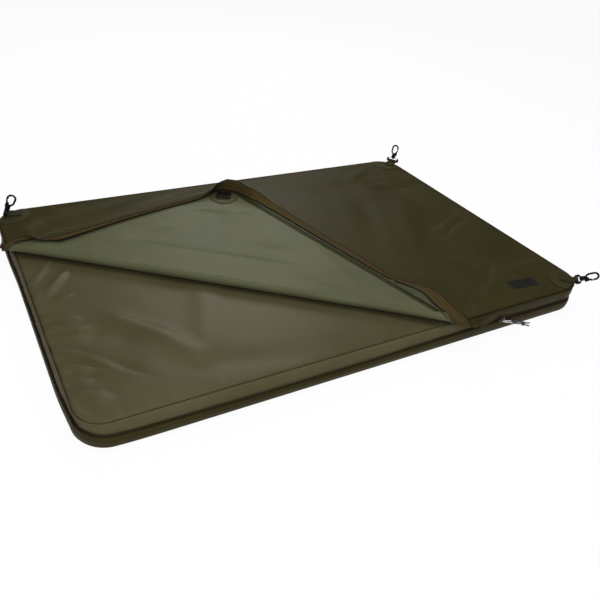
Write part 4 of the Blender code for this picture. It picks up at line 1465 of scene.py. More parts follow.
@dataclass(frozen=True)
class Tray:
    """The shallow pan: soft low wall, flat bottom, and the base's zip tape and coil."""

    plan: Plan = Plan()
    skirt: Skirt = Skirt()
    edge: float = 0.0095
    bulge: float = 0.0011
    slump: float = 0.0032
    rise: float = 0.0024
    lap: float = 0.012
    overlap: float = 0.002
    floor_gap: float = 0.0002
    bottom_spacing: float = 0.03
    tape_depth: float = 0.006
    hem: float = 0.0022
    wall_steps: int = 7

    def drop(self, run: float) -> float:
        """How far the open zip's lower half has slumped at an outline length."""
        end = self.skirt.slider_run - 0.07
        return self.slump * eased((run - self.plan.tip_run) / 0.30) * eased((end - run) / 0.30)

    def profile(self, run: float) -> Section:
        """The wall's section.

        Args:
            run: The outline length.

        Returns:
            Insets and heights, from the top down.
        """
        top = self.plan.tray_height + self.rise - self.drop(run)
        slack = self.bulge * (1 + 1.4 * ripple((run * 5.0,), 1.0)) + self.drop(run) * 0.25
        section = [(0.0, top + 0.0004), (-0.0001, top)]
        for share in shares(self.wall_steps)[1:-1]:
            pucker = 0.0005 * ripple((run * 75.0, share * 1.5), 2.0) * (1 - share)
            section.append((-slack * math.sin(math.pi * share) - pucker, top + (self.edge - top) * share))
        for angle in (0, 22, 45, 68, 90):
            turn = math.radians(angle)
            section.append((self.edge * (1 - math.cos(turn)), self.edge * (1 - math.sin(turn))))
        section.append((self.edge + self.lap, 0.0))
        tuck = self.plan.tuck(run)
        return [(inset + tuck * (0.7 + 0.3 * eased(height / top)), height) for inset, height in section]

    def build(self) -> None:
        """Make the tray's pieces."""
        plan = self.plan
        rows = [
            [plan.at(run, -inset, max(height, self.floor_gap)) for inset, height in self.profile(run)]
            for run in plan.runs(0, plan.perimeter, plan.step)[:-1]
        ]
        wall = linked("tray_wall_cloth", woven(rows, closed=True), Finish.OUTER)
        placed(shell(wall, plan.fabric, offset=-1), Bed.MAT, "outer_fabric", "base_tray")
        bm = plan.sheet(self.edge + self.lap - self.overlap, self.bottom_spacing)
        for vert in bm.verts:
            wave = 0.0003 * (1 + ripple((vert.co.x * 14, vert.co.y * 14), 3.0))
            vert.co.z = self.floor_gap + wave * eased((plan.inset_of(vert.co.x, vert.co.y) - 0.02) / 0.05)
        bottom = shell(linked("tray_bottom_cloth", flat_mesh(bm), Finish.OUTER), plan.fabric, offset=1)
        placed(bottom, Bed.MAT, "outer_fabric")
        self.zip_half()
        LOG.info("tray: wall, bottom, tape and coil")

    def zip_half(self) -> None:
        """The base's tape, coil and their stitches."""
        plan = self.plan
        rows, coil, hem, normals = [], [], [], []
        low, top = plan.tray_height - self.tape_depth, plan.tray_height + plan.tape_show
        for run in plan.runs(plan.zip_start, plan.zip_end, plan.step):
            drop, tuck, out = self.drop(run), plan.tuck(run), plan.rim(run)[1]
            foot = plan.at(run, -(plan.tape_inset + tuck), 0.0)
            lean = out * (drop * 0.30)
            foot_up, rise = foot + UP * (low - drop), UP * (top - low)
            rows.append([foot_up + (lean + rise) * share for share in (0, 0.4, 0.8, 1)])
            coil.append(foot + lean + UP * (plan.base_coil_z - drop))
            hem.append(plan.at(run, 0.0003 - tuck, plan.tray_height + self.rise - self.hem - drop))
            normals.append(out)
        tape = shell(linked("base_tape_weave", woven(rows), Finish.DARK_TAPE), plan.tape_thick)
        placed(tape, Bed.MAT, "dark_tape", "base_tape")
        placed(coil_piece("base_coil_teeth", coil, plan), Bed.MAT, "dark_tape", "base_coil")
        Stitching().sewn("tray_hem_stitches", [(hem, normals)], Finish.THREAD, Bed.MAT)


# The pad


@dataclass(frozen=True)
class Pad:
    """The foam pad: a crowned top with a sewn rim, and gathered sides."""

    plan: Plan = Plan()
    seam_inset: float = 0.012
    crown: float = 0.0040
    side_inset: float = 0.006
    foot: float = 0.0032
    groove: float = 0.0012
    cloth: float = 0.0010
    spacing: float = 0.0050
    fill: float = 0.85
    seam: Stitching = Stitching(pitch=0.0056, length=0.0037, radius=0.0008, rise=0.0007)
    creases: Creases = Creases(PAD_CREASES)

    def relief(self, x: float, y: float) -> float:
        """How far the top's cloth stands over its plain crown.

        Args:
            x: Place along the mat.
            y: Place across it.

        Returns:
            The relief.
        """
        inside = self.plan.inset_of(x, y) - self.seam_inset
        run = self.plan.beside(x, y)
        wide = 0.0011 * math.exp(-inside / 0.030) * eased(inside / 0.004)
        wide *= ripple((run * 62, inside * 14), 5.0)
        fine = 0.0006 * math.exp(-inside / 0.012) * eased(inside / 0.003)
        fine *= ripple((run * 150, inside * 20), 6.0)
        swell = 0.0016 * ripple((x * 4.2, y * 5.1), 7.0) * eased(inside / 0.08)
        soft = 0.0005 * ripple((x * 15 + y * 6, y * 11), 8.0) * eased(inside / 0.05)
        creases = 1.35 * self.creases.at(x, y) * eased(inside / 0.010)
        return wide + fine + swell + soft + creases - self.groove * math.exp(-((inside / 0.0024) ** 2))

    def top(self, x: float, y: float) -> Vector:
        """The pad's top at a place along and across the mat.

        Args:
            x: Place along the mat.
            y: Place across it.

        Returns:
            The point.
        """
        along = 1 - (x / (self.plan.half.x - self.seam_inset)) ** 4
        over = 1 - (y / (self.plan.half.y - self.seam_inset)) ** 4
        crown = self.crown * max(along, 0) * max(over, 0)
        return Vector((x, y, self.plan.pad_height + crown + self.relief(x, y)))

    def side(self, run: float) -> Section:
        """The side's section.

        Args:
            run: The outline length.

        Returns:
            Insets and heights, from the seam down.
        """
        height, tuck = self.plan.pad_height, self.plan.tuck(run)
        section = [
            (self.seam_inset, height - self.groove),
            (0.0110, height - 0.0005),
            (0.0096, height - 0.0008),
            (0.0079 + tuck * 0.4, height - 0.0019),
            (0.0065 + tuck * 0.8, height - 0.0038),
        ]
        for share in shares(8)[1:-1]:
            fall = height - 0.0036 - (height - 0.0036 - 0.004) * share
            gather = 0.0014 * ripple((run * 42, share * 1.2), 11.0) * (1 - 0.6 * share)
            gather += 0.0008 * ripple((run * 110, share * 2.0), 12.0) * (1 - share)
            section.append((self.side_inset + tuck - 0.0016 * math.sin(math.pi * share) - gather, fall))
        return [*section, (self.side_inset + tuck + 0.001, self.foot)]

    def build(self) -> None:
        """Make the pad's pieces."""
        plan = self.plan
        mesh = flat_mesh(plan.sheet(self.seam_inset, self.spacing), self.top)
        top = shell(linked("pad_top_cloth", mesh, Finish.PAD), self.cloth, offset=-1)
        placed(top, Bed.MAT, "pad_fabric", "pad_top", "foam_core")
        runs = plan.runs(0, plan.perimeter, plan.fine_step)
        rows = [[plan.at(run, -inset, height) for inset, height in self.side(run)] for run in runs[:-1]]
        # The side takes the lighter copy of the pad cloth: painted light.
        side = linked("pad_side_cloth", woven(rows, closed=True), Finish.PAD_BAND)
        placed(shell(side, self.cloth, offset=-1), Bed.MAT, "pad_fabric", "pad_side")
        seam = [plan.at(run, 0.0006 - self.seam_inset, plan.pad_height - 0.0004) for run in runs]
        self.seam.sewn("pad_seam_stitches", [(seam, UP)], Finish.DARK_THREAD, Bed.MAT)
        LOG.info("pad: top, side and seam")


# The cover


@dataclass(frozen=True)
class Cover:
    """The cover that stays on the mat, its roll at the fold, and its skirts, tapes and coils."""

    plan: Plan = Plan()
    fold: Fold = Fold()
    skirt: Skirt = Skirt()
    ease: float = 0.0045
    sag_share: float = 0.75
    sag_spacing: float = 0.240
    rim_round: float = 0.007
    rim_drop: float = 0.0013
    seam_radius: float = 0.0014
    stitch_insets: tuple[float, float] = (0.0042, 0.0085)
    roll_gap: float = 0.0004
    roll_steps: int = 18
    roll_across: int = 150
    wall_steps: int = 8
    creases: Creases = Creases(COVER_CREASES)

    def height(self, x: float, y: float) -> float:
        """Height of the middle of the cover's cloth where it stays on the mat.

        Args:
            x: Place along the mat.
            y: Place across it.

        Returns:
            The height.
        """
        plan = self.plan
        past = self.fold.distance(Vector((x, y, 0))) - self.fold.axis
        inside, run = plan.inset_of(x, y), plan.beside(x, y)
        hollow = (1 - math.cos(math.tau * past / self.sag_spacing)) / 2
        sag = self.ease * self.sag_share * hollow * plan.free(x, y) * eased(past / plan.flat_rim - 1)
        fade = math.exp(-inside / 0.028) * eased((inside - 0.002) / 0.006)
        gathers = 0.0008 * fade * ripple((run * 48, inside * 16), 21.0)
        loose = 0.0010 * ripple((x * 6.3, y * 7.7), 22.0) + 0.0004 * ripple((x * 19, y * 14), 23.0)
        relief = gathers + (loose + 1.5 * self.creases.at(x, y)) * eased(inside / 0.02)
        edge = self.rim_drop * (1 - min(inside / self.rim_round, 1)) ** 2
        return plan.cover_mid - sag + relief * eased(past / 0.035) - edge

    def build(self) -> None:
        """Make the cover's pieces that ride on the mat, and those that go round the fold."""
        plan, skirt = self.plan, self.skirt
        bm, area = self.fold.cut(self.fold.axis, clear_inner=True)
        mesh = flat_mesh(bm, lambda x, y: Vector((x, y, self.height(x, y))))
        panel = shell(linked("cover_cloth", mesh, Finish.OUTER, Finish.COATED), plan.panel_cloth, second=True)
        placed(panel, Bed.MAT, "outer_fabric", "cover_panel")
        self.roll()
        turned = skirt.slider_run - skirt.slider_length
        Edge("left", plan.gap, skirt.left[0]).build()
        Edge("gape", skirt.front[1], turned).build()
        Edge("right", turned + plan.gap, plan.zip_end + plan.zip_start).build()
        self.back()
        self.seams()
        LOG.info("cover: panel, roll, skirts, tapes, coils, back wall and seams")

    def bend(self, piece: Object, slot: str, *nodes: str) -> None:
        """Bake a piece's place into its mesh, and hide the solids it stands for.

        Args:
            piece: The piece, its mesh final.
            slot: The material slot; not used.
            nodes: The solids it stands for.
        """
        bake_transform(piece)
        if nodes:
            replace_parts(piece, *nodes)

    def roll(self) -> None:
        """The soft roll, with the flattened skirts, tapes and coils that go round it."""
        plan, fold, skirt = self.plan, self.fold, self.skirt
        first, last = fold.axis + self.roll_gap, fold.corner_edge - self.roll_gap
        distances = [first + (last - first) * share for share in shares(self.roll_steps)]
        rows = []
        for distance in distances:
            swell = -0.0007 * math.sin(min(max((fold.axis - distance) / fold.radius, 0), math.pi))
            left, front = fold.left(distance), fold.front(distance)
            rows.append([])
            for share in shares(self.roll_across):
                rows[-1].append(fold.rolled(left.lerp(front, share), swell * ripple((share * 9.0,), 31.0)))
        roll = linked("crease_roll_cloth", woven(rows), Finish.COATED, Finish.OUTER)
        self.bend(shell(roll, plan.panel_cloth, second=True), "coated_fabric", "crease_roll")
        under = plan.seam_z - plan.cover_mid
        lift = under - skirt.tape_lift
        for side, edge, kept in (("left", fold.left, 1 - skirt.gathered), ("front", fold.front, 1.0)):

            def strip(reaches: Sequence[float], inset: float, height: float) -> Rows:
                """Lay rows round the roll.

                Args:
                    reaches: How far outside the edge the points of a row lie.
                    inset: How much further in they all lie.
                    height: How high they lie over the panel.

                Returns:
                    The rows.
                """
                return [
                    [fold.rolled(edge(distance, reach * kept - inset), height) for reach in reaches]
                    for distance in distances
                ]

            cloth = strip((-0.001, skirt.drop / 2, skirt.drop), 0.0, under)
            if side == "left":
                cloth = [row[::-1] for row in cloth]
            piece = linked(f"crease_skirt_{side}", woven(cloth), Finish.COATED, Finish.OUTER)
            self.bend(shell(piece, plan.fabric, second=True), "outer_fabric")
            tape = skirt.tape_end - skirt.tape_top
            reaches = [skirt.tape_top + tape * share for share in (0, 0.3, 0.6, 1)]
            piece = linked(f"crease_tape_{side}", woven(strip(reaches, plan.fabric / 2, lift)), Finish.TAPE)
            self.bend(shell(piece, plan.tape_thick), "zip_tape")
            line = [row[0] for row in strip([skirt.coil_drop], plan.fabric / 2, lift)]
            self.bend(coil_piece(f"crease_coil_{side}_teeth", line, plan), "dark_tape", f"crease_coil_{side}")

    def back(self) -> None:
        """The sewn back wall."""
        plan = self.plan
        low, high = plan.tray_height + plan.gap, plan.cover_under - plan.gap
        rows = []
        for run in plan.runs(plan.zip_end + plan.zip_start + plan.gap, plan.perimeter - plan.gap, plan.step):
            rows.append([])
            for share in shares(self.wall_steps):
                loose = (0.0012 + 0.0007 * ripple((run * 40, share * 1.4), 41.0)) * math.sin(math.pi * share)
                rows[-1].append(plan.at(run, loose - plan.fabric / 2, low + (high - low) * (1 - share)))
        wall = linked("back_wall_cloth", woven(rows), Finish.OUTER, Finish.COATED)
        placed(shell(wall, plan.fabric, second=True), Bed.MAT, "outer_fabric", "back_wall")

    def seams(self) -> None:
        """The rolled seam round the cover's edge and its stitches."""
        plan, skirt = self.plan, self.skirt
        runs = plan.runs(skirt.front[1], plan.perimeter + skirt.left[0], plan.fine_step)
        height = plan.seam_z + 0.0008
        cord = [plan.at(run, 0.0001 + 0.0002 * ripple((run * 60,), 43.0), height) for run in runs]
        placed(linked("cover_seam", tube(cord, self.seam_radius), Finish.SEAM), Bed.MAT, "outer_fabric")
        rows = []
        for inset in self.stitch_insets:
            spots = [plan.at(run, -inset, 0.0) for run in runs]
            heights = [self.height(spot.x, spot.y) + plan.panel_cloth / 2 for spot in spots]
            rows.append(([spot + UP * height for spot, height in zip(spots, heights)], UP))
        Stitching().sewn("cover_rim_stitches", rows, Finish.THREAD, Bed.MAT)


@dataclass(frozen=True)
class Edge:
    """One stretch of the cover's skirt with its tape, coil and stitches, between two outline lengths."""

    name: str
    start: float
    end: float
    bed: Bed = Bed.MAT
    home: Matrix = Matrix().freeze()
    skirt: Skirt = Skirt()
    hem_inset: float = 0.0022
    fine_step: float = 0.003
    tape_over: float = 0.0008
    # Radius of the dark tube that paints the shadow line along the folded tape's inner edge.
    painted_shadow_line: float = 0.0011

    def lies(self, run: float, drop: float, lift: float) -> Vector:
        """Where a point of the skirt lies, as Skirt.point takes it."""
        return self.home @ self.skirt.point(run, drop, lift)

    def row(self, run: float, strip: float, steps: Sequence[float]) -> list[Vector]:
        """The cloth from the seam down.

        Args:
            run: The outline length.
            strip: The share of the drop that ends at the tape, where the folded corner's cloth is gathered.
            steps: Shares of the drop.

        Returns:
            A point for each share.
        """
        found = []
        for share in steps:
            gather = (0.0006 * ripple((run * 55, share * 1.3), 51.0) - 0.0010) * math.sin(math.pi * share)
            if share < strip:
                across = math.sin(math.pi * share / strip)
                gather += self.skirt.shown(run) * across * 0.42 * ripple((run * 62, share * 9), 52.0)
            found.append(self.lies(run, self.skirt.hem(run) * share, gather))
        return found

    def build(self) -> None:
        """Make the stretch's pieces."""
        skirt, plan = self.skirt, self.skirt.plan
        folded = self.bed is Bed.CORNER
        strip = skirt.tape_top / skirt.drop if folded else 0.0
        steps = [strip * step / 6 for step in range(6)] + [strip + (1 - strip) * share for share in shares(4)]
        runs = plan.runs(self.start, self.end, self.fine_step if folded else plan.fine_step)
        rows = [self.row(run, strip, steps if folded else shares(6)) for run in runs]
        # The folded corner's skirt takes the darker copy of the coated cloth: painted shade.
        inner = Finish.SHADED if folded else Finish.COATED
        cloth = linked(f"{self.name}_skirt_cloth", woven(rows), Finish.OUTER, inner)
        placed(shell(cloth, plan.fabric, second=True), self.bed, "outer_fabric", f"{self.name}_skirt")
        hems = [
            [self.lies(run, skirt.hem(run) - self.hem_inset, -plan.fabric / 2 - out) for run in runs]
            for out in (0, 0.001)
        ]
        normals = [(off - on).normalized() for on, off in zip(*hems)]
        Stitching().sewn(f"{self.name}_hem_stitches", [(hems[0], normals)], Finish.THREAD, self.bed)
        runs = plan.runs(max(self.start, plan.zip_start), min(self.end, plan.zip_end), plan.fine_step)
        top, lift = skirt.tape_top, skirt.tape_lift
        width = skirt.tape_end + self.tape_over - top
        tape = [[self.lies(run, top + width * share, lift) for share in shares(5)] for run in runs]
        weave = shell(linked(f"{self.name}_tape_weave", woven(tape), Finish.TAPE), plan.tape_thick)
        placed(weave, self.bed, "zip_tape", f"{self.name}_tape")
        if folded:
            # A dark tube along the tape's inner edge: a painted shadow line between tape and skirt.
            painted_shadow_line = tube([row[0] for row in tape], self.painted_shadow_line, 6)
            placed(linked("corner_tape_painted_shadow", painted_shadow_line, Finish.DARK_THREAD), self.bed, "dark_tape")
        line = [self.lies(run, skirt.coil_drop, lift) for run in runs]
        coil = coil_piece(f"{self.name}_coil_teeth", line, plan)
        placed(coil, self.bed, "dark_tape", f"{self.name}_coil")


@dataclass(frozen=True)
class FoldedCorner:
    """The corner of the cover that lies face down, with its binding, seam, inner patch and strap end."""

    plan: Plan = Plan()
    fold: Fold = Fold()
    skirt: Skirt = Skirt()
    billow: float = 0.006
    seam_radius: float = 0.0011
    binding_width: float = 0.0085
    binding_inset: float = 0.0012
    binding_section: Marks = ((0, 0), (0.08, -0.0009), (0.5, -0.0014), (0.92, -0.0009), (1, 0))
    patch_inset: float = 0.008
    patch_depth: float = 0.049
    webbing_width: float = 0.025
    webbing_thick: float = 0.0016
    strap_length: float = 0.040
    strap_middle: float = 0.026
    strap_steps: int = 14
    creases: Creases = Creases(CORNER_CREASES)

    def height(self, x: float, y: float) -> float:
        """Height of the closed corner's cloth.

        Args:
            x: Place along the mat.
            y: Place across it.

        Returns:
            The height.
        """
        plan = self.plan
        before = self.fold.corner_edge - self.fold.distance(Vector((x, y, 0)))
        inside = plan.inset_of(x, y)
        billow = self.billow * plan.free(x, y) * eased(before / plan.flat_rim - 1)
        loose = 0.0009 * ripple((x * 7.1, y * 8.3), 61.0) + 0.0003 * ripple((x * 21, y * 17), 62.0)
        gathers = 0.0007 * math.exp(-inside / 0.025) * ripple((plan.beside(x, y) * 50, inside * 15), 63.0)
        relief = (gathers + loose + self.creases.at(x, y)) * eased(before / 0.02)
        return plan.cover_mid + billow + relief * eased((inside - 0.006) / 0.02)

    def build(self) -> None:
        """Make the folded corner's pieces."""
        fold, plan = self.fold, self.plan
        home = fold.turned()
        bm, area = fold.cut(fold.corner_edge, clear_outer=True)
        mesh = flat_mesh(bm, lambda x, y: home @ Vector((x, y, self.height(x, y))))
        panel = linked("corner_cloth", mesh, Finish.OUTER, Finish.COATED)
        placed(shell(panel, plan.panel_cloth, second=True), Bed.CORNER, "coated_fabric", "corner_panel")
        start, end = self.skirt.left[1], self.skirt.front[0]
        Edge("corner", start, end, Bed.CORNER, home.freeze()).build()
        tip = plan.side_run + plan.corner_run / 2
        # The left seam takes the lighter inner-patch cloth: a painted highlight along the folded edge.
        self.seam("left", plan.runs(start, tip, plan.fine_step), Finish.INNER_PATCH, 0.0007, home)
        self.seam("front", plan.runs(tip, end, plan.fine_step), Finish.SEAM, -0.0008, home)
        self.binding(plan.runs(tip, end - self.binding_width, plan.fine_step), home)
        self.strap(home)
        LOG.info("folded corner: panel, skirt, tape, coil, binding, inner patch, strap end and frame")

    def seam(self, name: str, runs: list[float], finish: Finish, low: float, home: Matrix) -> None:
        """The seam along one side of the corner.

        Args:
            name: The side.
            runs: Outline lengths.
            finish: Its cloth.
            low: How far below the skirt's top it lies.
            home: The turn to where the corner lies.
        """
        cord = [home @ self.plan.at(run, 0.0003, self.plan.seam_z - low) for run in runs]
        piece = linked(f"corner_seam_{name}", tube(cord, self.seam_radius), finish)
        placed(piece, Bed.CORNER, "outer_fabric")

    def binding(self, runs: list[float], home: Matrix) -> None:
        """The binding along the corner's front edge, with its stitches.

        Args:
            runs: Outline lengths.
            home: The turn to where the corner lies.
        """
        plan = self.plan
        under = plan.cover_under + 0.0006
        rows, sewn = [], []
        for run in runs:
            width = self.binding_width * (1 + 0.10 * ripple((run * 30,), 65.0))
            rows.append(
                [
                    home @ plan.at(run, -(self.binding_inset + width * share), under + fall)
                    for share, fall in self.binding_section
                ]
            )
            sewn.append(home @ plan.at(run, -(self.binding_inset + width * 0.72), under - 0.0014))
        binding = linked("corner_binding_cloth", woven(rows), Finish.BINDING)
        placed(binding, Bed.CORNER, "outer_fabric", "corner_binding")
        up = (home.to_3x3() @ -UP).normalized()
        Stitching().sewn("corner_binding_stitches", [(sewn, up)], Finish.THREAD, Bed.CORNER)

    def strap(self, home: Matrix) -> None:
        """The inner patch, the strap end and its frame.

        Args:
            home: The turn to where the corner lies.
        """
        plan = self.plan
        spot = Matrix.Translation((-plan.core.x, -plan.core.y, plan.cover_under - plan.gap))
        facing = Matrix.Rotation(math.atan2(-1, -1), 4, "Z")
        at = home @ spot @ facing @ Matrix.Rotation(math.pi, 4, "X")
        patch = Patch("inner_patch_a", self.patch_inset, self.patch_depth, Finish.INNER_PATCH)
        patch.build(at, Bed.CORNER)
        height = plan.gap + patch.thick + self.webbing_thick / 2
        rows = []
        for share in shares(self.strap_steps):
            x = self.strap_middle + self.strap_length * (share - 0.5)
            point = Vector((x, 0, height + 0.0006 * math.sin(math.pi * share)))
            rows.append(webbing_section(point, UP, self.webbing_width, self.webbing_thick))
        webbing("strap_end_a_webbing", rows, at, Bed.CORNER, "strap_end_a")
        dressed("strap_frame_a", Finish.PLASTIC)


# Corner fittings


def webbing_section(centre: Vector, up: Vector, width: float, thick: float) -> list[Vector]:
    """A rounded flat section of webbing that lies along Y.

    Args:
        centre: Its centre.
        up: The direction through it.
        width: Its width.
        thick: Its thickness.

    Returns:
        The section's ring of points.
    """
    half, tall = width / 2, thick / 2
    side = half - tall * 0.5
    inner = [half * share for share in (-0.6, -0.2, 0.2, 0.6)]
    low = [(x, -tall) for x in (-side, *inner, side)]
    high = [(x, tall) for x in (side, *reversed(inner), -side)]
    return [centre + Vector((0, 1, 0)) * x + up * z for x, z in ((-half, 0.0), *low, (half, 0.0), *high)]


def webbing(name: str, rows: Rows, at: Matrix, bed: Bed, node: str) -> None:
    """A piece of webbing.

    Args:
        name: The piece's name.
        rows: Its sections.
        at: Where it lies.
        bed: The body it rides on.
        node: The solid it stands for.
    """
    mesh = woven(rows, round_section=True)
    mesh.transform(at)
    placed(linked(name, mesh, Finish.WEBBING), bed, "webbing", node)


@dataclass(frozen=True)
class Patch:
    """A reinforcing patch: the rounded corner outside, a half round inside, with a sewn edge."""

    node: str
    inset: float = 0.003
    depth: float = 0.036
    finish: Finish = Finish.PATCH
    corner: float = 0.060
    thick: float = 0.0010
    sewn_inset: float = 0.0034
    steps: int = 14
    seam: Stitching = Stitching(pitch=0.0030, length=0.0021, radius=0.0003)

    def outline(self, shrink: float) -> list[Vector]:
        """The patch's outline, its diagonal along X.

        Args:
            shrink: How far inside the cut edge.

        Returns:
            The outline's points.
        """
        radius = self.corner - self.inset - shrink
        chord = (self.corner - self.inset) * math.sin(math.pi / 4)
        depth = self.depth - shrink
        spots = []
        for share in shares(self.steps):
            turn = math.radians(-45 + 90 * share)
            spots.append(Vector((radius * math.cos(turn), radius * math.sin(turn) * (1 - shrink / chord), 0)))
        for share in shares(self.steps)[1:-1]:
            turn = math.pi * share
            spots.append(Vector((chord - depth * math.sin(turn), (chord - shrink) * math.cos(turn), 0)))
        return spots

    def build(self, at: Matrix, bed: Bed) -> None:
        """Make the patch.

        Args:
            at: Where it lies, its underside at zero height.
            bed: The body it rides on.
        """
        name = f"{self.node}_cloth"
        edge = ((0.0, 0.1), (0.0002, 0.8), (0.0010, 1), (self.sewn_inset, 0.92), (0.012, 1))
        bm = bmesh.new()
        loops = [
            [bm.verts.new(at @ (spot + UP * (self.thick * share))) for spot in self.outline(shrink)]
            for shrink, share in edge
        ]
        for low, high in zip(loops, loops[1:]):
            for a, b, c, d in zip(low, low[1:] + low[:1], high[1:] + high[:1], high):
                bm.faces.new((a, b, c, d))
        bm.faces.new(loops[-1])
        bm.faces.new(loops[0][::-1])
        layer, back = bm.loops.layers.uv.new("cut"), at.inverted()
        for face in bm.faces:
            for loop in face.loops:
                loop[layer].uv = (back @ loop.vert.co).xy
        bmesh.ops.recalc_face_normals(bm, faces=bm.faces)
        placed(linked(name, smoothed(freed(bm), 60), self.finish), bed, "outer_fabric", self.node)
        ring = self.outline(self.sewn_inset)
        sewn = [at @ (spot + UP * (self.thick * 0.9)) for spot in [*ring, ring[0]]]
        up = (at.to_3x3() @ UP).normalized()
        self.seam.sewn(f"{name}_stitches", [(sewn, up)], Finish.THREAD, bed)


@dataclass(frozen=True)
class CornerFitting:
    """One corner's patch, webbing loop, swivel base, hook and gate."""

    letter: str
    side: tuple[int, int]
    reach: float
    aside: float
    azimuth: float
    bed: Bed = Bed.MAT
    plan: Plan = Plan()
    fold: Fold = Fold()
    width: float = 0.025
    thick: float = 0.0016
    tail: float = 0.034
    inner: float = 0.0026
    patch_thick: float = 0.001
    tail_steps: int = 8
    loop_steps: int = 22
    seam: Stitching = Stitching(pitch=0.0026, length=0.0019, radius=0.00032)

    def build(self) -> None:
        """Make the fitting's pieces and dress its solids."""
        plan = self.plan
        x, y = self.side
        home = self.fold.turned() if self.bed is Bed.CORNER else Matrix()
        centre = Vector((x * plan.core.x, y * plan.core.y, plan.cover_top + plan.gap))
        facing = Matrix.Rotation(math.atan2(y, x), 4, "Z")
        Patch(f"patch_{self.letter}").build(home @ Matrix.Translation(centre) @ facing, self.bed)
        out = Matrix.Rotation(math.radians(self.aside), 3, "Z") @ Vector((x, y, 0)).normalized()
        lift = self.patch_thick + plan.gap + self.inner + self.thick
        bar = centre + out * (plan.corner + self.reach) + UP * lift
        self.loop(home @ Matrix.Translation(bar) @ Matrix.Rotation(math.radians(self.azimuth), 4, "Z"))
        for node in (f"hook_base_{self.letter}", f"hook_{self.letter}", f"gate_{self.letter}"):
            dressed(node, Finish.PLASTIC)
        LOG.info("corner %s: patch, webbing, base, hook and gate", self.letter)

    def loop(self, at: Matrix) -> None:
        """The webbing loop and its sewn tail.

        Args:
            at: The bar's place, with the hook's way along X.
        """
        middle = self.inner + self.thick / 2
        top = 1.5 * self.thick - self.inner - self.thick
        sweep = 1.5 * math.pi - math.asin(top / middle)
        path = [Vector((self.tail * (share - 1), 0, -middle)) for share in shares(self.tail_steps)[:-1]]
        for share in shares(self.loop_steps):
            turn = sweep * share - math.pi / 2
            path.append(Vector((middle * math.cos(turn), 0, middle * math.sin(turn))))
        end = path[-1].x
        back = 0.001 - self.tail - end
        path += [Vector((end + back * share, 0, top)) for share in shares(self.tail_steps)[1:]]
        rows = []
        for index, point in enumerate(path):
            up = Vector((0, 1, 0)).cross(heading(path, index))
            rows.append(webbing_section(point, up, self.width - 0.0004, self.thick - 0.0001))
        name = f"webbing_{self.letter}"
        webbing(f"{name}_weave", rows, at, self.bed, name)
        near, far, half = -0.009, 0.004 - self.tail, self.width / 2 - 0.003
        low, high, far_high, far_low = (
            at @ Vector((x, y, top + self.thick / 2))
            for x, y in ((near, -half), (near, half), (far, half), (far, -half))
        )
        up = (at.to_3x3() @ UP).normalized()
        rows = [([low, high, far_high, far_low, low], up), ([low, far_high], up), ([high, far_low], up)]
        self.seam.sewn(f"{name}_stitches", rows, Finish.DARK_THREAD, self.bed)


# The slider and its puller


@dataclass(frozen=True)
class Puller:
    """The slider's bright wire, its cord loop, the knot and the cord's tails."""

    plan: Plan = Plan()
    slider_x: float = 0.307
    inward: float = 0.0059
    angle: float = math.radians(-35.6)
    wire: float = 0.0008
    half_width: float = 0.0028
    length: float = 0.0165
    cord: float = 0.0012
    leg: float = 0.021
    knot: float = 0.0036
    knot_tail: float = 0.009
    knot_turns: float = 2.25
    steps: int = 12

    def build(self) -> None:
        """Make the cord and knot and dress the slider and wire."""
        plan = self.plan
        dressed("slider", Finish.SLIDER)
        dressed("pull_wire", Finish.WIRE, 60)
        dressed("stop_left", Finish.PLASTIC)
        dressed("stop_right", Finish.PLASTIC)
        bar = plan.tape_inset - plan.coil_radius - plan.gap - self.inward
        place = Matrix.Translation((self.slider_x, -plan.half.y + bar, plan.chain_z))
        at = place @ Matrix.Rotation(self.angle, 4, "Z")
        grip = self.length + self.half_width
        bend, near = self.wire + self.cord + plan.gap, self.cord + plan.gap
        knot = grip + self.leg
        stop = knot - self.knot * 0.4
        even = shares(self.steps)
        leg, rise = grip - stop, bend - near
        path = [Vector((stop + leg * share, 0, near + rise * eased(share))) for share in even]
        for share in even[1:-1]:
            turn = math.pi * (0.5 + share)
            path.append(Vector((grip + bend * math.cos(turn), 0, bend * math.sin(turn))))
        path += [Vector((grip - leg * share, 0, rise * eased(share) - bend)) for share in even]
        path = [at @ point for point in path]
        loop = linked("pull_cord_braid", tube(path, self.cord, 10), Finish.CORD)
        placed(loop, Bed.PULLER, "black_cord", "pull_cord")
        long = sum((b - a).length for a, b in zip(path, path[1:]))
        tuple(path[0])
        [tuple(point) for point in path]
        self.knotted(at, knot)
        LOG.info("puller: wire, cord loop of %.0f mm and knot", long * 1000)

    def knotted(self, at: Matrix, place: float) -> Object:
        """The knot: the cord wound twice round the legs, with two cut tails.

        Args:
            at: The puller's place.
            place: How far along it the knot is.

        Returns:
            The knot.
        """
        coil = []
        for share in shares(44):
            turn = math.tau * self.knot_turns * share
            lean = self.knot * 0.85 * (share * 2 - 1)
            coil.append(Vector((place + lean, 0.0029 * math.cos(turn), 0.0032 * math.sin(turn))))
        strands = [coil]
        for side in (-1, 1):
            spread = side * (self.cord + self.plan.gap)
            tail = []
            for share in shares(8):
                run = place - self.knot * 0.6 + (self.knot * 1.6 + self.knot_tail) * share
                tail.append(Vector((run, side * 0.0012 * share * share, spread * (1 + 0.9 * share))))
            strands.append(tail)
        bm = bmesh.new()
        for strand in strands:
            bm.from_mesh(tube([at @ point for point in strand], self.cord * 1.2, 10))
        piece = linked("pull_knot_braid", smoothed(freed(bm), 60), Finish.CORD)
        return placed(piece, Bed.PULLER, "black_cord", "pull_knot")


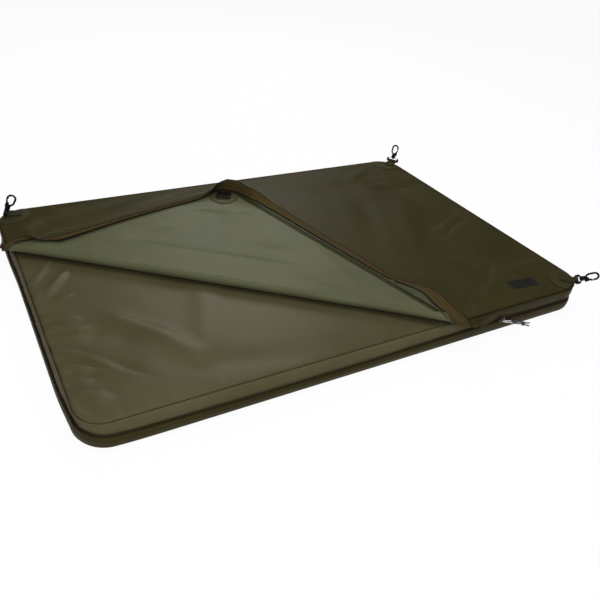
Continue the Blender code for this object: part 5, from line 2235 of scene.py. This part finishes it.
@dataclass(frozen=True)
class Label:
    """A bare woven label, sewn round its edge to the cover."""

    cover: Cover
    length: float = 0.070
    width: float = 0.030
    thick: float = 0.0004
    from_end: float = 0.136
    from_front: float = 0.058
    turn: float = math.radians(-6)
    seam_inset: float = 0.0014
    seam: Stitching = Stitching(pitch=0.0024, length=0.0017, radius=0.00025)

    def place(self, x: float, y: float) -> Vector:
        """Where a point of the label lies on the cover.

        Args:
            x: Place along the label.
            y: Place across it.

        Returns:
            The point.
        """
        plan = self.cover.plan
        centre = Vector((plan.half.x - self.from_end, self.from_front - plan.half.y, 0))
        spot = centre + Matrix.Rotation(self.turn, 3, "Z") @ Vector((x, y, 0))
        edge = min(self.length / 2 - abs(x), self.width / 2 - abs(y))
        lift = 0.0007 + 0.0005 * eased(edge / 0.004)
        return spot + UP * (self.cover.height(spot.x, spot.y) + plan.panel_cloth / 2 + lift)

    def build(self) -> None:
        """Make the label and its stitches."""
        bm = bmesh.new()
        bmesh.ops.create_grid(bm, x_segments=28, y_segments=12, size=0.5)
        for vert in bm.verts:
            vert.co = (vert.co.x * self.length, vert.co.y * self.width, 0)
        piece = shell(linked("label_weave", flat_mesh(bm, self.place), Finish.LABEL), self.thick, offset=-1)
        placed(piece, Bed.MAT, "dark_tape", "label")
        x, y = self.length / 2 - self.seam_inset, self.width / 2 - self.seam_inset
        corners = [(-x, -y), (x, -y), (x, y), (-x, y), (-x, -y)]
        path = []
        for (ax, ay), (bx, by) in zip(corners, corners[1:]):
            path += [self.place(ax + (bx - ax) * share, ay + (by - ay) * share) for share in shares(10)[:-1]]
        path.append(self.place(*corners[-1]))
        self.seam.sewn("label_stitches", [(path, UP)], Finish.DARK_THREAD, Bed.MAT)
        LOG.info("label: bare, sewn on")


# The room


@dataclass(frozen=True)
class Studio:
    """Camera, floor, lamps and world."""

    eye: Triple = (-0.634, -1.079, 0.756)
    azimuth: float = math.radians(-32.373)
    elevation: float = math.radians(33.636)
    roll: float = math.radians(5.993)
    lens: float = 38.324
    floor_size: float = 14.0
    white_share: float = 0.94
    lamps: tuple[tuple[str, Triple, float, float], ...] = (
        ("key", (0.90, 2.1, 1.6), 1.1, 18.5),
        ("fill", (-1.1, -1.9, 1.6), 2.0, 42.0),
        ("top", (0.2, 0.1, 2.6), 1.8, 36.0),
        ("rake", (-1.15, 0.62, 0.42), 0.35, 0.2),
    )

    def build(self) -> None:
        """Set up the room."""
        self.camera()
        self.floor()
        self.world()
        for name, spot, size, power in self.lamps:
            data = bpy.data.lights.new(name, "AREA")
            data.size, data.energy = size, power
            lamp = added(name, data)
            lamp.location = spot
            lamp.rotation_mode = "QUATERNION"
            lamp.rotation_quaternion = Vector(spot).to_track_quat("Z", "Y")
        bpy.context.scene.view_settings.view_transform = "Standard"
        LOG.info("room: camera, floor, lamps and world")

    def camera(self) -> None:
        """The camera at the photographed angle."""
        level = math.cos(self.elevation)
        back = Vector(
            (math.sin(self.azimuth) * level, -math.cos(self.azimuth) * level, math.sin(self.elevation))
        )
        right = (-back).cross(UP).normalized()
        up = right.cross(-back)
        side = right * math.cos(self.roll) + up * math.sin(self.roll)
        top = up * math.cos(self.roll) - right * math.sin(self.roll)
        data = bpy.data.cameras.new("camera")
        data.lens, data.sensor_width = self.lens, 36.0
        camera = added("camera", data)
        camera.matrix_world = Matrix.Translation(self.eye) @ Matrix((side, top, back)).transposed().to_4x4()
        bpy.context.scene.camera = camera

    def floor(self) -> None:
        """A pale floor that keeps the mat's shadow."""
        bm = bmesh.new()
        bmesh.ops.create_grid(bm, x_segments=1, y_segments=1, size=self.floor_size)
        mesh = freed(bm)
        floor = added("floor", mesh)
        graph = Graph("floor_paper", Coordinates.SOLID)
        graph.finish((0.92, 0.92, 0.92, 1), 0.9)
        seen = graph.node("ShaderNodeLightPath").outputs
        looked = Value(graph, seen["Is Camera Ray"]).most(Value(graph, seen["Is Glossy Ray"]))
        looked = looked.most(Value(graph, seen["Is Transmission Ray"]))
        glow = graph.node("ShaderNodeEmission", inputs={"Color": (1, 1, 1, 1), "Strength": 1.0})
        share = looked * self.white_share
        mixed = graph.node("ShaderNodeMixShader", inputs={0: share, 1: graph.shader, 2: glow})
        graph.feed(graph.tree.nodes["Material Output"].inputs[0], mixed)
        mesh.materials.append(graph.material)

    def world(self) -> None:
        """Soft light from all round, and white where it is looked at."""
        world = bpy.data.worlds.new("studio")
        bpy.context.scene.world = world
        world.use_nodes = True
        world.node_tree.nodes.clear()
        tree = Tree(world.node_tree)
        path = tree.node("ShaderNodeLightPath").outputs["Is Camera Ray"]
        soft = tree.node("ShaderNodeBackground", inputs={"Color": (0.96, 0.98, 1.0, 1), "Strength": 0.18})
        white = tree.node("ShaderNodeBackground", inputs={"Color": (1, 1, 1, 1)})
        mix = tree.node("ShaderNodeMixShader", inputs={0: path, 1: soft, 2: white})
        tree.node("ShaderNodeOutputWorld", inputs={0: mix})


def main() -> None:
    """Build the whole scene in order."""
    logging.basicConfig(level=logging.INFO, format="%(message)s")
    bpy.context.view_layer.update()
    Studio().build()
    Puller().build()
    Tray().build()
    Pad().build()
    cover = Cover()
    cover.build()
    FoldedCorner().build()
    CornerFitting("a", (-1, -1), 0.006, 0.0, 225.0, Bed.CORNER).build()
    CornerFitting("b", (1, -1), 0.003, 0.0, -45.0).build()
    CornerFitting("c", (1, 1), 0.006, -13.0, 32.0).build()
    CornerFitting("d", (-1, 1), -0.004, 0.0, 165.0).build()
    Label(cover).build()


if __name__ == "__main__":
    main()
